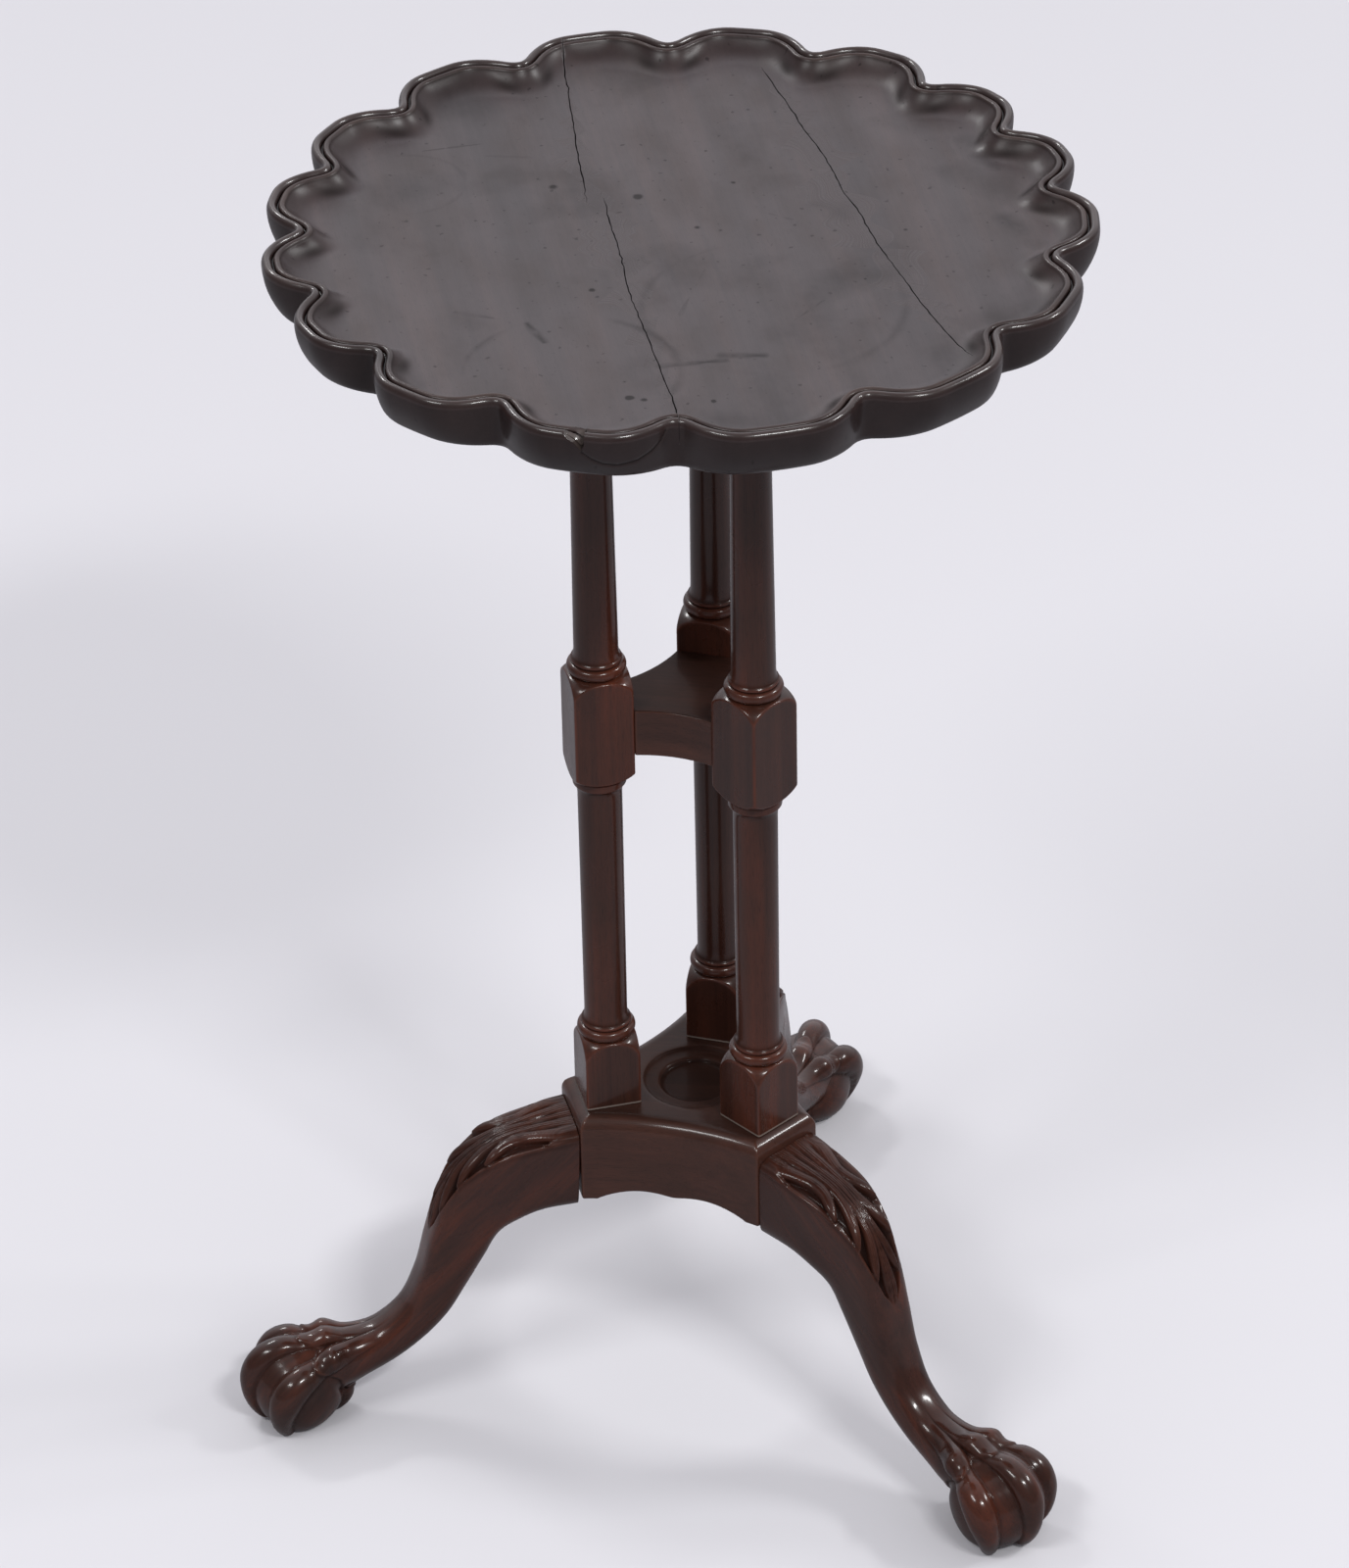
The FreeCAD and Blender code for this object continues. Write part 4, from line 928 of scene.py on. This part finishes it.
def claw_relief(along, angle, radius):
    """Height of the claws over the ball and of the skin stretched between them. Each claw is a rounded strip
    down the foot whose height and width swell at the knuckles, and it ends above the flat underside. The
    skin ends in a scallop that reaches further down beside each claw."""
    path = along[:, None]
    spread = np.radians(through(*CLAW_SPREAD, along))[:, None]
    claws = np.zeros((len(along), len(angle)))
    grip = np.zeros_like(claws)
    for (heights, widths), aim in ((MIDDLE_CLAW, 0.0), (SIDE_CLAW, spread), (SIDE_CLAW, -spread),
                                   (REAR_CLAW, math.pi)):
        off = (angle - math.pi / 2 - aim + math.pi) % (2 * math.pi) - math.pi
        beside = off * radius
        height = np.clip(through(CLAW_KEYS, heights, along), 0, None)[:, None]
        width = through(CLAW_KEYS, widths, along)[:, None]
        finger = np.clip(1 - (beside / width) ** 2, 0, 1) ** 0.55
        claws = np.maximum(claws, height * finger + 0.2 * height * hump(beside, width * 1.7))
        grip = np.maximum(grip, hump(beside, width * 2.2))
    web_end = WEB_END + WEB_REACH * grip
    web = smooth_step(178, 200, path) * (1 - smooth_step(web_end - 0.9, web_end + 0.9, path))
    return claws * (1 - smooth_step(along[-1] - 8.0, along[-1] - 2.5, path)) + WEB_THICKNESS * web


def leg_rings(opening):
    """Loops down one leg that points along +X: rounded rectangles between the upper and the lower edge,
    rounder towards the ankle, then ovals that fan round the ball. The carved leaf, the claws with their
    knuckles and the skin between them stand out along the normal. The opening is the joint's at its foot.
    Also the painted shade in the sunk ground of the leaf."""
    keys = lengths_along(LEG_STATIONS[:, :2])
    along = np.concatenate([np.arange(0, 112, 0.62), np.arange(112, 180, 1.7), np.arange(180, keys[-1], 0.8),
                            keys[-1:]])
    rows = through(keys, LEG_STATIONS, along)
    top_edge, low_edge, half_width, squareness = rows[:, :2], rows[:, 2:4], rows[:, 4:5], rows[:, 5:6]
    even = np.linspace(0, 2 * math.pi, 216, endpoint=False)
    angle = even + 0.42 * np.cos(even)
    cosine, sine = np.cos(angle), np.sin(angle)
    size = (np.abs(cosine) ** squareness + np.abs(sine) ** squareness) ** (-1 / squareness)
    middle = (top_edge + low_edge) / 2
    rise = (top_edge - low_edge) / 2
    rings = np.stack([middle[:, :1] + rise[:, :1] * (sine * size), half_width * (cosine * size),
                      middle[:, 1:] + rise[:, 1:] * (sine * size)], -1)
    step = np.linalg.norm(np.roll(rings, -1, 1) - rings, axis=-1)
    run = np.cumsum(step, axis=1) - step
    crown = np.argmin(np.abs(angle - math.pi / 2))
    girth = step.sum(1, keepdims=True)
    across = (run - run[:, crown:crown + 1] + girth / 2) % girth - girth / 2
    path = along[:, None]
    leaf, sunk = leaf_relief(path, across * LEAF_HALF / half_width)
    radius = np.sqrt(half_width * np.linalg.norm(rise, axis=1)[:, None])
    relief = leaf + claw_relief(along, angle, radius)
    rings = rings + outward(rings) * relief[..., None]
    rings[..., 2] = np.maximum(rings[..., 2], 0.0)
    rings[0, :, 0] = JOINT_X + 0.15
    below = (JOINT_TOP - rings[..., 2]) / (JOINT_TOP - JOINT_BOTTOM)
    rings[..., 0] += opening * below * (1 - smooth_step(0, 16, path))
    # The leaf is darkened a little all over, and its sunk ground is painted with shade.
    return rings, 0.8 * sunk


for place, corner_angle in CORNERS.items():
    leg_loops, leg_leaf_shade = leg_rings(JOINT_OPENINGS[place])
    leg_grain = turned_by(np.array((0.72, 0.0, -0.69)), corner_angle)
    add_piece(f"leg_carved_{place}", turned_by(leg_loops, corner_angle), leg_finish,
              f"leg_{place}", leg_grain, shift=corner_angle * LEG_GRAIN_STEP, dirt_and_shade=leg_leaf_shade)


# Dowels and screws stay as the solids are, under plain finishes.
for node_name, finish in (("shelf_dowels", dowel_finish), ("leg_dowels", dowel_finish),
                          ("platform_screws", screw_finish)):
    cad_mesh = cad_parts[node_name].data
    cad_mesh.materials.clear()
    cad_mesh.materials.append(finish)


# Studio, in metres

AIM = Vector((0.0, 0.0, 0.35))
FLOOR_RADIUS = 14.0
FLOOR_POINTS = 96
LAMP_DISTANCE = 5.2
# Softboxes: direction round from the front and height as angles, width and power.
SOFTBOXES = {
    "left_softbox": (-32.0, 50.0, 1.8, 70.0),
    "right_softbox": (46.0, 48.0, 1.2, 95.0),
    "right_rear_softbox": (112.0, 38.0, 1.2, 75.0),
    "left_rear_softbox": (-128.0, 42.0, 1.2, 45.0),
}


def studio_floor():
    """A plain pale paper sweep: one large disc."""
    turn = np.linspace(0, 2 * math.pi, FLOOR_POINTS, endpoint=False)
    rim = FLOOR_RADIUS * np.column_stack([np.cos(turn), np.sin(turn), np.zeros(FLOOR_POINTS)])
    mesh = bpy.data.meshes.new("paper_sweep")
    mesh.from_pydata(rim.tolist(), [], [list(range(FLOOR_POINTS))])
    # Matt white paper shows pale to the camera; its glare on the polish is held down, as a flag does it.
    paper, tree, shader = new_finish("matt_white_paper", Roughness=0.9, Specular_IOR_Level=0.2)
    seen = add_node(tree, "LightPath", output="Is Camera Ray")
    colour = add_node(tree, "Mix", {0: seen, 6: linear("#8f8e92"), 7: linear("#d2d1d5")}, 2, data_type="RGBA")
    tree.links.new(colour, shader.inputs["Base Color"])
    mesh.materials.append(paper)
    floor = new_object("paper_sweep", mesh)


def studio_world():
    """Soft even light on the table from all round. What the polish mirrors is bright behind the table and dim
    above it and on the camera's side."""
    world = bpy.data.worlds.new("soft_studio")
    bpy.context.scene.world = world
    world.use_nodes = True
    tree = world.node_tree
    background = tree.nodes["Background"]
    direction = add_node(tree, "TexCoord", output="Generated")
    lean = add_node(tree, "VectorMath", (direction, (-0.2, 0.76, 0.62)), "Value", operation="DOT_PRODUCT")
    mirrored = add_node(tree, "MapRange", (lean, 0.25, 0.96, 0.16, 1.05))
    glossy = add_node(tree, "LightPath", output="Is Glossy Ray")
    strength = add_node(tree, "Mix", {0: glossy, 2: 0.64, 3: mirrored}, data_type="FLOAT")
    background.inputs["Color"].default_value = linear("#f8f7fd")
    tree.links.new(strength, background.inputs["Strength"])


def towards(azimuth, elevation):
    """Unit direction from the table: degrees round from the front, to the right, and degrees up."""
    round_by, up_by = math.radians(azimuth), math.radians(elevation)
    return Vector((math.sin(round_by) * math.cos(up_by), -math.cos(round_by) * math.cos(up_by),
                   math.sin(up_by)))


def softbox(name, azimuth, elevation, width, power):
    """A broad studio lamp, a third as high as it is wide, aimed at the middle of the table."""
    lamp = bpy.data.lights.new(name, "AREA")
    lamp.shape = "RECTANGLE"
    lamp.size = width
    lamp.size_y = width / 3
    lamp.energy = power
    holder = new_object(name, lamp)
    back = towards(azimuth, elevation)
    holder.location = AIM + back * LAMP_DISTANCE
    holder.rotation_mode = "QUATERNION"
    holder.rotation_quaternion = (-back).to_track_quat("-Z", "Y")


def photo_camera():
    """The photograph's view: direction, distance, shift of the aim and roll as fitted to the block corners,
    shafts and feet. The focal length in pixels is over the picture's long side."""
    distance, right_shift, up_shift, roll = 3.7, -0.00811, 0.01468, math.radians(-1.18)
    focal, long_side = 7284.0, 1600.0
    back = towards(16.55, 33.89)
    right = (-back).cross(Vector((0, 0, 1))).normalized()
    up = right.cross(-back)
    eye = AIM + back * distance + right * right_shift + up * up_shift
    cosine, sine = math.cos(roll), math.sin(roll)
    right, up = cosine * right + sine * up, cosine * up - sine * right
    data = bpy.data.cameras.new("photo_camera")
    data.sensor_width = 36.0
    data.lens = focal / long_side * data.sensor_width
    data.clip_start, data.clip_end = 0.05, 60.0
    camera = new_object("photo_camera", data)
    camera.matrix_world = Matrix.Translation(eye) @ Matrix((right, up, back)).transposed().to_4x4()
    bpy.context.scene.camera = camera


studio_floor()
studio_world()
for softbox_name, softbox_place in SOFTBOXES.items():
    softbox(softbox_name, *softbox_place)
photo_camera()
bpy.context.scene.view_settings.view_transform = "Standard"
